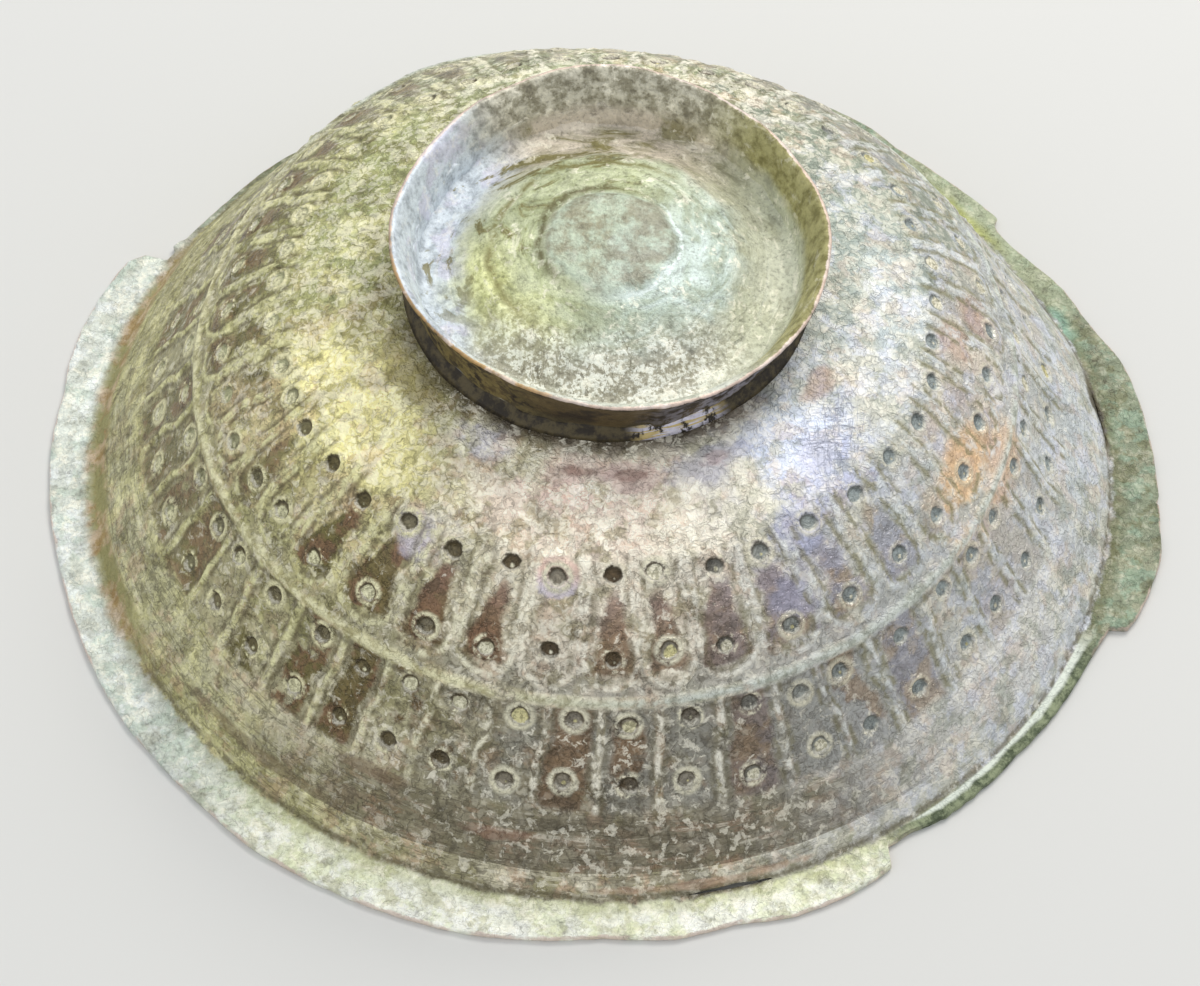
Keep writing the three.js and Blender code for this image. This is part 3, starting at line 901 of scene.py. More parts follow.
class Patina(Finish):
    """Fields that every patinated surface shares: clouds, grains, threads and places round the bowl."""

    def __init__(self, name, colours):
        super().__init__(name)
        self.colours = colours
        whole = self.node("TexCoord", None, None, out="Object")
        drift = self.split(self.node(
            "TexNoise", None, {"Vector": whole, "Scale": 600.0, "Detail": 3.0}, out="Color"), "Color")
        self.place = self.node("VectorMath", {"operation": "SCALE"}, {0: whole, "Scale": 1000.0})
        self.x, self.y, self.z = self.split(self.place)
        self.radius = (self.x * self.x + self.y * self.y) ** 0.5
        self.turn = self.y.maths("ARCTAN2", self.x)
        self.fine = self.cloud(self.place, 0.6, 2.0, 0.6)
        self.grit = self.cloud(self.place, 2.1, 4.0, 0.66)
        self.patchy = self.cloud(self.place, 6.2, 4.0, 0.6)
        self.broad = self.cloud(self.place, 19.0, 3.0)
        drifted = self.join(*(part + (off - 0.5) * 2.8 for part, off in zip((self.x, self.y, self.z), drift)))
        self.gap = self.grains(drifted, 1.45, "DISTANCE_TO_EDGE", "Distance")
        self.dice_red = self.split(self.grains(drifted, 1.45, "F1", "Color"), "Color")[0]
        self.knobs = self.cloud(drifted, 1.9, 3.0, 0.6)
        worm = self.cloud(drifted, 2.7, 2.0, 0.6)
        self.worms = self.thread(worm, 0.5, 0.035)
        self.cracks = self.thread(self.cloud(drifted, 4.6, 3.0, 0.65), 0.47, 0.022)
        self.waver = worm - 0.5
        wavering = self.join(self.x + self.waver * 2.0, self.y + self.waver * 2.0, 0.0)
        self.way = self.node("VectorMath", {"operation": "NORMALIZE"}, {0: wavering})

    def sway(self, **amounts):
        """Sum of noise fields about 0, each times its amount, such as grit=1.1."""
        total = None
        for field, amount in amounts.items():
            part = (getattr(self, field) - 0.5) * amount
            total = part if total is None else total + part
        return total

    def toward(self, degrees):
        """Cosine of the angle from an azimuth."""
        turn = math.radians(degrees)
        return self.node("VectorMath", {"operation": "DOT_PRODUCT"},
                         {0: self.way, 1: (math.cos(turn), math.sin(turn), 0.0)}, out="Value")

    def zone(self, middle, half, soft):
        """1 within half of an azimuth in degrees, eased over soft on each side."""
        near, far = math.cos(math.radians(half - soft)), math.cos(math.radians(half + soft))
        return self.smooth(self.toward(middle), far, near)

    def textured(self, shade, light, dark, amount=1.0):
        """A ground colour broken into pale and dark by the light and dark fields."""
        colours = self.colours
        low = self.mix(0.74, shade, colours.dirt_and_shade)
        high = self.mix(0.66, shade, colours.cream_and_highlight)
        shade = self.mix(dark * (0.85 * amount), shade, low)
        return self.mix(light * (0.9 * amount), shade, high)

    def hues(self, shade, tones, size=5.0):
        """A ground that drifts from patch to patch towards other colours: colour and strength of each."""
        cloud = self.node("TexNoise", None, {"Vector": self.place, "Scale": 1.0 / size, "Detail": 4.0,
                                             "Roughness": 0.62}, out="Color")
        for part, (tone, strength) in zip(self.split(cloud, "Color"), tones):
            shade = self.mix(self.smooth(part, 0.5, 0.6) * strength, shade, tone)
        return shade

    def foot_floor(self, wall):
        """Colour inside the foot, alike on sheet, solder and the foot's inner side; wall is 1 up the side."""
        radius = self.radius + (self.patchy - 0.5) * 9.0
        arcs = self.cloud(self.join(self.x / 11.0, self.y / 8.0, self.radius / 5.5), 1.0, 5.0, 0.65, 0.9)
        lines = self.cloud(self.join(self.x / 6.0, self.y / 6.0, self.radius / 1.6), 1.0, 3.0, 0.6, 0.8)
        shade = self.fade(self.broad, 0.42, 0.6, 0xC4C6B4, 0xD8DACE)
        inner = self.smooth(radius, 24.5, 18.5)
        green = self.fade(arcs, 0.42, 0.58, 0xA2A97C, 0xC2C8A2)
        green = self.mix(self.zone(335, 66, 40), green, self.fade(arcs, 0.4, 0.6, 0xA6B4A6, 0xCAD8D2))
        shade = self.mix(inner * 0.92, shade, green)
        outer = self.smooth(radius, 19.5, 23.5)
        silver = self.fade(self.grit, 0.34, 0.6, 0xAFB7BE, 0xD4DCE2)
        silver = self.mix(self.smooth(self.patchy, 0.52, 0.64) * 0.6, silver, 0xCBC7D8)
        tan = self.fade(arcs, 0.42, 0.58, 0xA39A80, 0xD2C6B4)
        brown = self.fade(self.grit, 0.4, 0.6, 0x98927C, 0xC8C3B0)
        olive = self.fade(self.grit, 0.36, 0.62, 0x827C49, 0xAAA470)
        shade = self.mix(self.zone(86, 44, 18) * outer * 0.9, shade, tan)
        shade = self.mix(self.zone(5, 48, 18) * outer * 0.55, shade, 0xB9BB9C)
        shade = self.mix(self.zone(178, 50, 14) * self.smooth(radius, 22.0, 27.0), shade, silver)
        # Up the foot's inner side: grey-brown at the back and olive at the right, partly patina and partly
        # painted shade on the sides turned from the key light
        shade = self.mix(wall * self.zone(86, 44, 16), shade, brown)
        shade = self.mix(wall * self.zone(3, 50, 14), shade, olive)
        yellow = self.zone(210, 30, 18) * self.bump_at(radius, 20.5, 8.5) * 0.9
        shade = self.mix(yellow, shade, self.fade(self.grit, 0.4, 0.6, 0xBFC07C, 0xEDEEAE))
        front = self.zone(268, 48, 18) * self.bump_at(radius, 24.0, 9.5) * (1.0 - wall * 0.6)
        flakes = self.fine * 0.35 + self.grit * 0.3 + self.knobs * 0.25 + self.patchy * 0.1
        flakes = self.smooth(flakes, 0.48, 0.53)
        shade = self.mix(front * 0.85, shade, self.mix(flakes, 0xAFA996, 0xE8E8DE))
        brownish = self.smooth(arcs, 0.45, 0.38) * (self.zone(135, 62, 30) * 0.75 + 0.2) * (1.0 - wall)
        shade = self.mix(brownish, shade, 0x7B7446)
        light = self.smooth(self.knobs, 0.54, 0.66)
        light = light * self.smooth(self.patchy + (lines - 0.5) * 0.8, 0.42, 0.58)
        light = light | self.smooth(lines, 0.6, 0.7) * 0.7
        dark = self.smooth(self.grit * 0.6 + self.fine * 0.4, 0.45, 0.36)
        dark = dark | self.smooth(lines, 0.4, 0.32) * 0.8 | self.cracks * 0.5
        calm = 1.0 - self.zone(178, 50, 14) * outer * 0.5 - self.zone(3, 50, 14) * wall * 0.5
        dark = dark | self.smooth(self.fine, 0.42, 0.3) * 0.8
        shade = self.textured(shade, light * calm * 0.85, dark * calm * 0.55)
        tone = self.sway(grit=0.8, patchy=0.5, fine=0.5)
        return self.light(shade, tone * calm + 1.07)


def reaching(patches, low, high):
    """The patches that reach a range of radii."""
    return [patch for patch in patches if low < patch[1] + 2 * patch[3] and patch[1] - 2 * patch[3] < high]


class SheetFinish(Patina):
    """What the wall and the rim of the sheet share: the ground with its stains, and the crust."""

    def __init__(self, name, colours, chasing):
        super().__init__(name, colours)
        self.chasing = chasing
        self.marks = tuple(row.along for row in chasing.rows)
        self.along = self.attribute("mark")
        self.mark = self.along + self.waver * 0.1
        self.ragged = self.sway(patchy=2.6, grit=1.1)
        self.wobble = self.sway(grit=1.5, patchy=1.6)
        self.around = self.cloud(self.join(self.x / 15.0, self.y / 15.0, self.along / 1.1), 1.0, 4.0, 0.65)
        east, north = self.turn.maths("COSINE") * 40.0, self.turn.maths("SINE") * 40.0
        self.dashes = self.cloud(self.join(east, north, self.along / 2.2), 1.0, 2.0)
        self.left, self.right = self.zone(182, 62, 24), self.zone(352, 53, 25)

    def by_side(self, front, left, right):
        """A colour for the front with others for the left and right sides."""
        return self.mix(self.right, self.mix(self.left, front, left), right)

    def stain(self, middle, radius, wide, tall, ragged=1.0, soft=0.65):
        """Ragged patch on the sheet."""
        beside = (1.0 - self.toward(middle)) * (2 / math.radians(wide) ** 2)
        down = (self.mark - self.chasing.track.along_at(radius)) * (1 / tall)
        return self.smooth(beside + down * down + self.ragged * ragged, 0.85 + soft, 0.85 - soft)

    def ground(self, low=0.0, high=100.0):
        """Colour of the patina by side of the bowl and by band, with its stains."""
        colours = self.colours
        below = self.smooth(self.mark + self.ragged * 2, self.chasing.ridge - 3, self.chasing.ridge + 5)
        shade = self.mix(below, colours.crust, colours.clay)
        moss = self.fade(self.patchy, 0.38, 0.62, colours.moss, 0xA7A274)
        mint = self.fade(self.patchy, 0.4, 0.62, colours.mint, 0xA0A67E)
        lilac = self.fade(self.patchy, 0.38, 0.62, colours.lilac, 0xC0C0B4)
        shade = self.mix(self.right, shade, lilac)
        shade = self.mix(self.left, shade, moss)
        shade = self.mix(self.zone(82, 50, 24), shade, mint)
        for *place, code, strength in reaching(STAINS, low, high):
            shade = self.mix(self.stain(*place) * strength, shade, code)
        warm = self.by_side(0xE2BC9E, 0xBC987A, 0xCDB8A6)
        warm = self.mix(self.zone(138, 42, 20), warm, 0xA7A06C)
        green = self.by_side(0x9A9468, 0x77713E, 0x949A8A)
        pale = self.by_side(0xF4ECD4, 0xE4DFA4, 0xD6DAE8)
        return self.hues(shade, [(warm, 0.42), (green, 0.55), (pale, 0.5)])

    def crust(self, shade, thin=0.0):
        """Lumps and threads over the ground, dark hollows and cracks between them; thinner on bare metal."""
        a, b, c, d = self.marks
        plain = self.smooth(self.mark, a, a - 4.0)
        beyond = self.smooth(self.mark, d + 2.0, d + 6.0)
        density = plain * 0.2 + (self.patchy - 0.5) * 1.1 + (self.broad - 0.5) * 0.5 - thin
        grain = self.smooth(self.gap, 0.03, 0.22) * self.smooth(self.dice_red + density, 0.56, 0.8)
        grain = grain * (1.0 - self.smooth(self.mark, b, c) * 0.55 - beyond * 0.2)
        knobs = self.smooth(self.knobs + density * 0.18, 0.53, 0.62)
        threads = self.worms * self.smooth(self.patchy + density * 0.3, 0.46, 0.6)
        threads = threads * (self.left * 0.3 + 0.2 - beyond * 0.2)
        streaks = self.smooth(self.around, 0.54, 0.66) * (beyond * 0.6 + self.right * 0.3)
        streaks = streaks * self.smooth(self.grit, 0.42, 0.58)
        knobs = knobs * (0.9 - beyond * 0.12 - beyond * self.left * 0.45)
        light = grain * 0.75 | knobs | threads | streaks
        seams = self.smooth(self.gap, 0.12, 0.02) * self.smooth(self.grit + density * 0.3, 0.42, 0.6)
        hollows = self.smooth(self.knobs + (self.patchy - 0.5) * 0.5 + self.left * 0.02, 0.43, 0.34)
        pocks = self.smooth(self.grit * 0.7 + self.fine * 0.35, 0.45, 0.36)
        dark = seams * 0.45 | self.cracks * 0.6 | pocks * 0.85
        dark = dark | hollows * 0.8
        furrows = self.thread(self.around, 0.43, 0.03) * beyond * self.smooth(
            self.mark, self.chasing.crease + 1, self.chasing.crease - 1)
        dark = dark | furrows * 0.9
        height = self.smooth(self.gap, 0.04, 0.2) * 0.25 + self.grit * 0.9 + self.knobs * 0.9
        self.height = height - self.cracks * 0.3
        calm = 1.0 - self.right * 0.6
        light = light * (1.0 - self.right * 0.4 - self.left * 0.3)
        shade = self.textured(shade, light, dark * (calm - plain * 0.25))
        tone = self.sway(grit=1.1, fine=0.4, patchy=1.0)
        return self.light(shade, tone * calm + 1.08 + plain * 0.15 | 0.35)

    def coloured_marks(self, shade, low=0.0, high=100.0):
        for *place, code, strength in reaching(MARKS, low, high):
            tone = self.light(code, self.sway(grit=1.4) + 1.0)
            shade = self.mix(self.stain(*place, 1.15, 0.5) * strength, shade, tone)
        return shade


class WallFinish(SheetFinish):
    """The wall: chased bands of tongues, bare copper, smooth tin, ribs and ring punches."""

    def __init__(self, colours, chasing):
        super().__init__("tinned wall", colours, chasing)
        self.across, self.down, self.fill = self.split(self.attribute("punch", out="Vector"))
        self.stray = self.split(self.attribute("field", out="Vector"))[0]
        ragged = self.sway(grit=1.0, fine=0.6) + self.waver * 0.5
        self.ring = self.attribute("ring") + ragged
        self.luck = (self.fill * 37.0).maths("FRACT")
        self.cells()

    def cells(self):
        """Where the place lies in its cell of the upper or lower band."""
        chasing = self.chasing
        a, b, _, d = self.marks
        lower = self.mark.maths("GREATER_THAN", chasing.ridge)
        cells = lower * 6.0 + 41.0
        front = lower * math.radians(2) + math.radians(272)
        number = (self.turn - front) * cells * (1 / (2 * math.pi)) + self.stray
        whole = number.maths("ROUND")
        width = self.radius * (2 * math.pi) / cells
        self.half = width * 0.5
        self.beside = abs(number - whole) * width
        self.side = (number - whole) * width
        cell = whole.maths("FLOORED_MODULO", cells) + lower * 100.0
        dice = self.node("TexWhiteNoise", {"noise_dimensions": "1D"}, {"W": cell}, out="Color")
        self.dice, self.other_dice, self.third_dice = self.split(dice, "Color")
        past = self.mark - (b + 0.5) | 0.0
        self.from_middle = (self.beside * self.beside + past * past) ** 0.5
        self.upper = self.smooth(self.mark, a - 4.5, a - 2.0) * self.smooth(
            self.mark + self.wobble * 0.3, chasing.ridge - 0.8, chasing.ridge - 1.4)
        self.lower = self.smooth(self.mark, chasing.ridge + 0.8, chasing.ridge + 1.4) * self.smooth(
            self.mark + self.wobble, d + 5.0, d + 3.4)

    def metal(self, shade):
        """Bare copper and smooth tin in the two bands, under the crust."""
        colours, (a, b) = self.colours, self.marks[:2]
        front = self.zone(272, 44, 24)
        copper = self.fade(self.grit, 0.38, 0.62, colours.copper, 0x8A6A4A)
        copper = self.mix(self.smooth(self.third_dice, 0.65, 0.85) * 0.45, copper, 0x8B6450)
        brown = self.fade(self.patchy, 0.45, 0.56, 0x7E6244, 0x676034)
        copper = self.mix(self.smooth(self.mark + self.ragged, b - 1.0, a) * 0.75, copper, 0xA68880)
        copper = self.mix(self.left, copper, brown)
        violet = self.fade(self.patchy, 0.45, 0.58, 0xAAAABA, 0xB09A84)
        copper = self.mix(self.right, copper, violet)
        reach = (self.mark - a) * (2.5 / (b - a)) + 0.6 + (self.dice - 0.5) * 1.0
        streak = abs(self.side + (self.other_dice - 0.5) * 1.2) + self.wobble * 1.9
        streak = self.smooth(streak, reach + 0.8, reach - 0.7)
        streak = streak * self.smooth(self.mark + self.wobble * 1.6, b + 3.4, b + 2.2)
        streak = streak * self.smooth(self.mark + self.wobble * 1.5, a + 0.5, a + 4.0)
        streak = streak * self.upper * self.smooth(self.third_dice + (self.patchy - 0.5) * 1.1, 0.12, 0.34)
        blot = self.beside + self.wobble * 1.7 + self.other_dice * 1.4
        blot = self.smooth(blot, self.half, self.half - 1.4) * self.lower
        blot = blot * self.smooth(self.patchy + (self.dice - 0.5) * 0.5, 0.39, 0.5)
        tin = self.by_side(colours.tin, 0xA59E7C, 0xC0C3C2)
        panel = self.smooth(self.beside, self.half - 0.5, self.half - 1.0) * self.lower
        panel = panel * self.smooth(self.patchy + (self.other_dice - 0.5) * 0.3, 0.4, 0.54)
        spandrel = self.smooth(self.from_middle, self.half - 0.3, self.half + 0.3) * self.upper
        spandrel = spandrel * self.smooth(self.patchy, 0.36, 0.52)
        shade = self.mix(panel * 0.75 | spandrel * 0.6, shade, tin)
        bare = (streak | blot) * (front * 0.55 + self.left * 0.5 + 0.3)
        self.sheen = panel | spandrel | streak
        self.bare = bare * 0.24 + self.sheen * 0.14
        shade = self.mix(bare, shade, copper)
        shadow = (self.upper * 0.2 + self.lower * 0.34) * self.zone(281, 34, 22)
        return self.mix(shadow, shade, 0x5A4F3A)

    def lines(self, shade):
        """Pale crust along the ribs, dark grooves beside them and the border ridge."""
        colours = self.colours
        pale = self.by_side(colours.cream_and_highlight, 0xE4E0AC, 0xE2E7E6)
        pale = self.light(pale, (self.grit - 0.5) * 0.8 + 0.98)
        clumps = self.smooth(self.grit * 0.6 + self.dashes * 0.6, 0.55, 0.68)
        tongue = self.bump_at(self.from_middle + self.wobble * 0.6, self.half - 0.45, 0.95) * self.upper
        rib = self.bump_at(self.beside + self.wobble * 0.35, self.half - 0.1, 0.75) * self.lower
        groove = self.bump_at(self.from_middle + self.wobble * 0.7, self.half - 1.5, 1.1) * self.upper
        groove = groove | self.bump_at(self.beside + self.wobble * 0.5, self.half - 1.1, 0.9) * self.lower
        depth = (self.left * 0.25 + 0.45 + self.right * 0.3) * self.smooth(self.dashes, 0.4, 0.54)
        shade = self.mix(groove * depth, shade, self.mix(self.right, 0x665C3C, 0x8A8562))
        shade = self.mix((tongue | rib) * clumps * (0.9 - self.right * 0.3), shade, pale)
        border = self.bump_at(self.mark + self.wobble * 0.5, self.chasing.ridge, 1.6)
        bluish = self.fade(self.grit, 0.4, 0.58, 0xA7AC9E, 0xDDE2D8)
        creamy = self.fade(self.grit, 0.4, 0.58, 0xB8B080, 0xF0EBC0)
        bluish = self.mix(self.zone(205, 62, 20), bluish, creamy)
        shade = self.mix(border * self.smooth(self.patchy + self.grit * 0.4, 0.5, 0.66) * 0.9, shade, bluish)
        under = self.bump_at(self.mark + self.wobble * 0.3, self.chasing.ridge + 1.9, 0.7)
        shade = self.mix(under * self.smooth(self.patchy, 0.42, 0.55) * 0.5, shade, 0x5F5844)
        lattice = self.thread(self.cloud(self.join(self.x * 1.1, self.y / 8.0, 0.0), 1.0, 2.0), 0.5, 0.03)
        lattice = lattice | self.thread(
            self.cloud(self.join(self.x / 9.0, (self.y - self.x * 0.2) / 1.1, 3.0), 1.0, 2.0), 0.5, 0.03)
        lattice = lattice * self.stain(324, 45.5, 9, 6)
        return self.mix(lattice * 0.6, shade, 0x8B8FA2)

    def punches(self, shade):
        """Pits with painted shade on their upper edges and a painted highlight on their lower edges, pale
        rims and lime left in some of them.
        """
        colours, pit = self.colours, self.chasing.pit
        halo = self.smooth(self.ring + self.wobble * 0.6, 4.0, 3.0) * self.zone(263, 3.6, 1.0) * self.bump_at(
            self.mark, self.marks[0], 9.0)
        pink = self.fade(self.down, -1.0, 2.5, 0xEECABC, 0xDCD4E6)
        shade = self.mix(halo * 0.8, shade, self.light(pink, (self.grit - 0.5) * 1.1 + 1.0))
        rim = self.bump_at((self.ring - pit - 0.5) / (self.luck * 0.5 + 0.45), 0.15, 1.0)
        rim = rim * self.smooth(self.grit + self.fine * 0.5 + (self.luck - 0.5) * 0.35, 0.6, 0.82)
        rim = rim * (1.0 - self.right * 0.5)
        pale = self.mix(self.left, 0xE4DEC4, 0xE4DEB2)
        shade = self.mix(rim, shade, self.light(pale, self.sway(grit=1.2, fine=0.8) + 0.97))
        floor = self.fade(self.luck + self.waver, 0.2, 0.8, 0x54452F, 0x8A8272)
        floor = self.mix(self.left * 0.7, floor, 0x6E6640)
        floor = self.mix(self.right, floor, 0x98A09E)
        limed = self.zone(166, 34, 14)
        floor = self.mix(limed * 0.85, floor, 0xC6C69C)
        floor = self.light(floor, self.sway(grit=2.0, fine=1.4) + 1.05)
        shade = self.fade(self.ring, pit + 0.25, pit - 0.15, shade, floor)
        # Painted shade on the pit's upper edge, in the dirt colour
        edge = self.bump_at(self.ring, pit - 0.05, 0.4)
        edge = edge * self.smooth(self.down + (self.grit - 0.5), 0.9, -0.7)
        shade = self.mix(edge * (0.85 - self.right * 0.4 - limed * 0.6), shade, colours.dirt_and_shade)
        # Painted highlight on the pit's lower edge, in the cream colour
        lip = self.bump_at(self.ring, pit - 0.1, 0.38) * self.smooth(self.down + (self.grit - 0.5), 0.1, 1.0)
        shade = self.mix(lip * 0.6, shade, colours.cream_and_highlight)
        lime = self.fade(self.luck, 0.72, 0.76, 0xECE6CE, 0xDDD49C)
        lime = self.mix(self.left, lime, 0xE6E2B8)
        lime = self.mix(self.smooth(self.fine, 0.55, 0.42) * 0.6, lime, 0x8C8664)
        off_x, off_y = self.across - 0.2, self.down - 0.4
        lump = (off_x * off_x + off_y * off_y) ** 0.5 + (self.grit - 0.5) * 1.3
        full = self.fill * 1.7 - 0.1
        filled = self.smooth(lump, full + 0.2, full - 0.15) * self.smooth(self.ring, pit, pit - 0.25)
        return self.mix(filled, shade, lime)

    def build(self):
        shade = self.metal(self.ground())
        # Painted shade on the sheet under the foot's flare, darkest at the front, with a little dirt all
        # round; the crust is thinner there
        foot = self.smooth(self.mark + self.ragged * 0.9, 40.0, 35.0) * (self.zone(266, 52, 20) * 0.8 + 0.15)
        shade = self.mix(foot, shade, 0x463B29)
        # Below the lower band at the front: brown patina with painted shade of the steep lower wall
        below = self.smooth(self.mark + self.ragged, self.marks[3] + 2.0, self.marks[3] + 7.0)
        below = below * self.zone(268, 33, 18)
        rust_and_shade = self.fade(self.patchy + (self.around - 0.5) * 0.8, 0.58, 0.68, 0x69614D, 0x6E543C)
        shade = self.mix(below * 0.75, shade, rust_and_shade)
        shade = self.crust(shade, self.bare + foot * 0.35 + below * 0.1)
        shade = self.punches(self.lines(self.coloured_marks(shade)))
        gloss = 0.58 - self.sheen * 0.17 - self.bare * 0.3 + (self.grit - 0.5) * 0.35
        return self.finish({"Base Color": shade, "Roughness": gloss, "Metallic": self.sheen * 0.2 + 0.18},
                           self.height, 0.46)


class RimFinish(SheetFinish):
    """The turned-out rim: crust, the stained crease with painted shade along it, the worn edge, and painted
    shade and a painted highlight on the torn stub at the right front.
    """

    def __init__(self, colours, chasing):
        super().__init__("crusted rim", colours, chasing)
        self.rim = self.split(self.attribute("field", out="Vector"))[1]

    def flange(self, shade):
        colours, crease = self.colours, self.chasing.crease
        beyond = self.mark + (self.grit - 0.5) * 2.8 + (self.patchy - 0.5) * 2.0
        beyond = self.smooth(beyond, crease - 0.1, crease + 0.8)
        left, front = self.zone(186, 38, 14), self.zone(265, 37, 14)
        tone, cool, grey, green = (self.mix(left, self.mix(front, other, near), far) for other, near, far in (
            (colours.sage, colours.leaf, colours.snow), (0x706F4A, 0xFAFAF2, 0xF4F8F6),
            (0xAAA88E, 0xB6B486, 0xC0C2B0), (0x8FAA94, 0xE2E8BC, 0xC4D4C4)))
        tone = self.hues(tone, [(cool, 0.6), (grey, 0.5), (green, 0.5)], 4.0)
        inner = self.smooth(self.mark + self.ragged * 1.2, crease + 3.6, crease + 1.0)
        tone = self.mix(inner * (1.0 - left * 0.6) * 0.55, tone, self.mix(front, 0x69683E, 0xC4C48C))
        tone = self.mix(self.zone(38, 12, 6) * 0.6, tone, 0xB6BE9E)
        tone = self.mix(self.zone(41, 5, 3) * inner * 0.7, tone, 0xAEB25E)
        tone = self.mix(self.zone(21.5, 2.2, 1.2) * inner * 0.8, tone, 0x8FB4A0)
        light = self.smooth(self.grit * 0.5 + self.knobs * 0.6, 0.55, 0.68)
        dark = self.smooth(self.grit * 0.5 + self.knobs * 0.6, 0.5, 0.38) * (1.0 - (left | front) * 0.45)
        tone = self.textured(tone, light * ((left | front) * 0.5 + 0.3), dark * 0.75)
        tone = self.light(tone, self.sway(grit=0.9, patchy=0.6, fine=0.5) + front * 0.05 + 1.0)
        shade = self.mix(beyond, shade, tone)
        stain = self.zone(180, 28, 8)
        # Darker line along the crease: brown dirt with painted shade in the crease
        groove = self.bump_at(self.mark + (self.patchy - 0.5) * 2.4, crease - 0.3, 1.3)
        groove = groove * (1.0 - stain * 0.7) * self.smooth(self.grit, 0.36, 0.52)
        shade = self.mix(groove * 0.75, shade, 0x5D5538)
        ochre = self.smooth(self.mark + self.ragged * 1.4, crease - 4.6, crease - 2.8) * self.smooth(
            self.mark + self.ragged * 0.9, crease + 2.6, crease + 0.6)
        rust = self.fade(self.grit, 0.4, 0.6, colours.ochre, 0xC4AC8C)
        rust = self.fade(self.patchy, 0.46, 0.58, rust, 0x96905C)
        shade = self.mix(ochre * stain * 0.85, shade, rust)
        # Torn stub at the right front: dark green painted shade of its lower lip at the edge, and a pale
        # painted highlight band towards the crease
        torn = self.zone(320, 16, 3) * self.smooth(self.mark, crease + 0.1, crease + 0.5)
        moss = self.fade(self.grit, 0.4, 0.6, 0x4F5A40, 0x8B9474)
        shade = self.mix(torn, shade, self.fade(self.rim + self.wobble * 0.4, 1.2, 2.0, moss, 0xDDE3D6))
        edge = self.smooth(self.rim + self.sway(grit=1.1), 0.42, 0.12)
        edge = edge * self.smooth(self.mark, crease, crease + 0.5) * self.smooth(self.patchy, 0.4, 0.52)
        return self.mix(edge * (1.0 - torn) * 0.75, shade, colours.rose)

    def build(self):
        shade = self.coloured_marks(self.crust(self.ground(80.0)), 80.0)
        shade = self.flange(shade)
        gloss = 0.6 + (self.grit - 0.5) * 0.3
        return self.finish({"Base Color": shade, "Roughness": gloss, "Metallic": 0.2}, self.height, 0.3)


class FloorFinish(Patina):
    """The domed base inside the foot, with its tooled ring and its boss."""

    def build(self):
        floor = self.foot_floor(0.0)
        wander = self.radius + (self.patchy - 0.5) * 3.0
        ring = self.bump_at(wander, 18.9, 1.1) * self.zone(140, 80, 30) * self.smooth(self.grit, 0.38, 0.54)
        floor = self.mix(ring * 0.85, floor, 0x77703A)
        turned = self.radius + (self.patchy - 0.5) * 3.0 - self.zone(92, 40, 30) * 1.2
        knob = self.smooth(turned, 11.0, 9.4)
        mottled = self.fade(self.grit * 0.4 + self.patchy * 0.6, 0.42, 0.58, 0x928D78, 0xB4C0AE)
        mottled = self.light(mottled, self.sway(grit=1.1, fine=0.7) + 1.0)
        floor = self.mix(knob * 0.8, floor, mottled)
        # Painted shade along the boss's left edge and a painted highlight along its right edge, as on a
        # raised boss lit from the right
        shaded = self.bump_at(turned, 11.2, 1.2) * self.zone(150, 70, 30) * self.smooth(self.grit, 0.36, 0.5)
        floor = self.mix(shaded * 0.9, floor, 0x645E38)
        boss_painted_highlight = self.bump_at(turned, 11.2, 0.6) * self.zone(345, 52, 26) * self.smooth(self.grit, 0.38, 0.52)
        floor = self.mix(boss_painted_highlight * 0.9, floor, 0xEEF8F6)
        scratch = self.cloud(self.join(self.x / 2.6 + self.waver, self.y / 13.0, 0.0), 1.0, 3.0, 0.6)
        scratch = self.thread(scratch, 0.5, 0.012) * self.zone(262, 26, 12) * self.smooth(self.radius, 14, 18)
        floor = self.mix(scratch * self.smooth(self.patchy, 0.4, 0.5) * 0.75, floor, 0x6A6450)
        height = self.grit * 0.8 + self.knobs * 0.6 + self.fine * 0.3
        gloss = self.sway(grit=0.4) + 0.54
        return self.finish({"Base Color": floor, "Roughness": gloss, "Metallic": 0.22}, height, 0.36)


